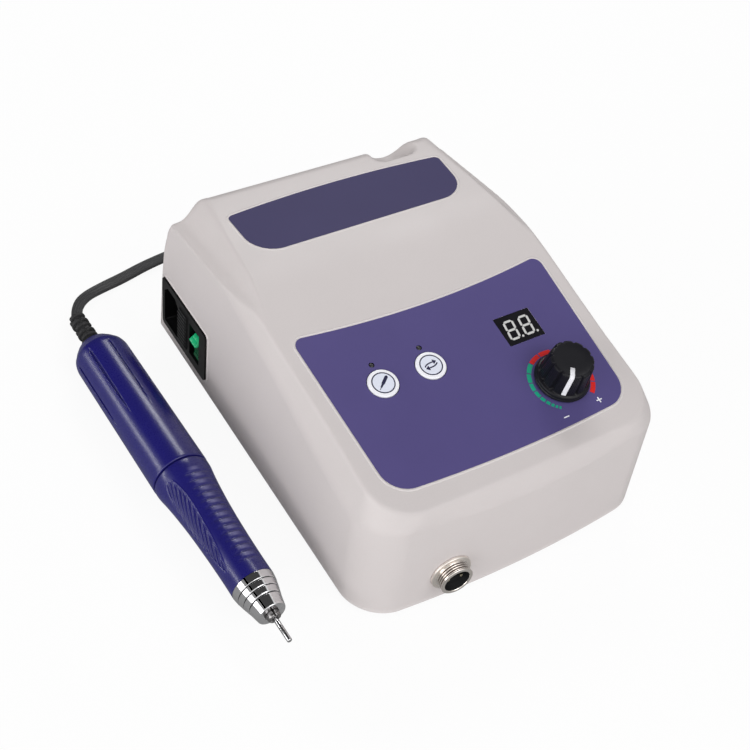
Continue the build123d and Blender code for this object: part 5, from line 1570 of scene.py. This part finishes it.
# %% [markdown]
# ## The green rocker
# The rocker's face is a glossy green moulding on a black base. It rises to a ridge near its top
# and is hollow below it. A profile up the wall is smoothed, carried across, and pressed in a
# little at its marks. Its lower half is darker, because little light comes into that hollow.


# %% Rocker
def rocker_part(name, profile, half, finish):
    """A profile of (height, out) up the wall, carried across the rocker, with rounded sides."""
    steps = np.linspace(0, len(profile) - 1, 90)
    padded = [np.pad(np.interp(steps, range(len(profile)), line), 2, mode="edge")
              for line in np.transpose(profile)]
    high, out = (np.convolve(line, np.full(5, 0.2), "valid")[:, None] for line in padded)
    across = np.linspace(-half, half, 30)[None]
    edge = np.clip(abs(across) - half + 0.5, 0, 0.499) * 2
    marks = np.maximum(pulse(across, 0, 0.22), pulse(out, 1.0, 0.2)) * pulse(high, 26.4, 0.9) * 0.3
    out = out - 0.4 * (1 - np.sqrt(1 - edge ** 2)) - marks
    out = np.where(abs(across) > half - 0.01, ROCKER_FOOT, out)
    return wear(grid_piece(name, world(on_side(ROCKER_Y + across, high, out))), finish)


def rocker_green(name):
    """Glossy green with a slow cloud above the ridge, and below it a dark green that is painted
    shade.
    """
    finish = Finish(name, (0.003, 0.36, 0.12), roughness=0.2, coat_weight=0.1, coat_roughness=0.1)
    cloud = finish.noise(finish.place(), 0.004)
    bright = finish.mix(cloud, (0.004, 0.37, 0.13), (0.012, 0.64, 0.27))
    upper = finish.from_spot()[2].above(ROCKER_RIDGE, 3)
    # Below the ridge the green is swapped for a dark green, a painted shade of the hollow.
    finish.feed("Base Color", finish.mix(upper, (0.002, 0.095, 0.035), bright))
    return finish.feed("Roughness", cloud * 0.14 + 0.18)


ROCKER_Y, ROCKER_FOOT, ROCKER_RIDGE = 60.5, -2.5, 26.2
ROCKER = [(28.1, -2.4), (27.9, -0.8), (26.5, 0.9), (25.2, 2.4), (24.6, 2.6), (24.0, 2.2),
          (21.6, 0.5), (18.5, -0.3), (15, -0.4), (13.3, 0.3), (12.9, -2.4)]
ROCKER_BASE = [(32.6, -2.4), (32.4, -1.4), (14.3, -1.6), (14, -2.4)]
green = rocker_green("green_plastic")
rocker_base = rocker_part("rocker_base", ROCKER_BASE, 4.9, inlet_black)
rocker_face = rocker_part("rocker_face", ROCKER, 3.5, green)
settle(rocker_base, "rocker", "black_plastic", "power_rocker")
settle(rocker_face, "rocker", "green_plastic")
print("rocker", len(rocker_face.data.polygons), "faces")

# %% [markdown]
# ## Finishes for the CAD pieces that still show
# The remaining pieces keep their CAD shapes, because those are right. Each takes a worked-out
# finish from its material slot: wound copper, ground steel, board laminate and so on.


# %% Board laminate and wire
FINE_WAVE = 9000


def laminate(name, color):
    """Board laminate: solder-mask green with a faint weave of two crossed waves."""
    finish = Finish(name, color, coat_weight=0.2)
    x, y = finish.split(finish.place())[:2]
    weave = (x * FINE_WAVE).wave() * (y * FINE_WAVE).wave()
    share = weave * 0.5 + 0.5
    finish.feed("Base Color", finish.mix(share, shades(color, 0.8), shades(color, 1.2)))
    finish.feed("Roughness", weave * 0.05 + 0.4)
    return finish.bump(share, 0.00002)


def wound(name, color):
    """Enamelled wire in close turns: fine ridges along z, with painted shade in the valleys between
    turns.
    """
    finish = Finish(name, color, metallic=1.0)
    ridge = (finish.split(finish.place())[2] * FINE_WAVE).wave() * 0.5 + 0.5
    # The valleys between turns are mixed darker, a painted shade.
    finish.feed("Base Color", finish.mix(ridge, shades(color, 0.6), shades(color, 1.1)))
    finish.feed("Roughness", ridge * 0.1 + 0.3)
    return finish.bump(ridge, 0.0002)


board = laminate("board_laminate", (0.03, 0.20, 0.09))
copper = wound("copper", (0.72, 0.36, 0.2))
print("turns", round(2 * pi / FINE_WAVE / MM, 2), "mm apart")

# %% [markdown]
# Every CAD node names a material slot in the record, so one table from slots to finishes dresses
# them all. Metals differ mostly in how rough they are and in which way their scratches run.

# %% Finishes by slot
slot_finish = {
    "shell_plastic": shell_finish, "black_rubber": black_rubber, "label_film": violet,
    "white_plastic": white_cap, "black_plastic": sleeve_black, "knob_gloss": black_gloss,
    "lamp_lens": lens, "window_glass": window, "green_plastic": green, "nickel_plate": nickel,
    "navy_lacquer": navy, "bright_chrome": chrome, "tool_steel": dark_steel,
    "tie_nylon": tie_finish, "board_laminate": board, "copper": copper,
    "coated_steel": bright_metal("coated_steel", (0.52, 0.52, 0.50), 0.4, 0.006),
    "zinc_steel": bright_metal("zinc_steel", (0.60, 0.60, 0.59), 0.3, 0.002),
    "core_steel": bright_metal("core_steel", (0.30, 0.30, 0.31), 0.42, 0.0015, (1, 1, 12)),
    "turned_aluminium": bright_metal("turned_aluminium", (0.74, 0.74, 0.76), 0.26, 0.0015,
                                     (1, 14, 1)),
    "contact_brass": bright_metal("contact_brass", (0.78, 0.70, 0.52), 0.2, 0.002),
    "dark_magnet": moulded("dark_magnet", (0.06, 0.06, 0.065), 0.0006, 0.00002, 0.55),
}
slot_of = {part["node"]: part["material_slot"] for part in frame["record"]["subparts"]}
for name, thing in nodes.items():
    if not thing.hide_render and name not in ("coil_tie", "cord_plug", "inlet_housing"):
        wear(thing, slot_finish[slot_of[name]])
print("slots", len(slot_finish))
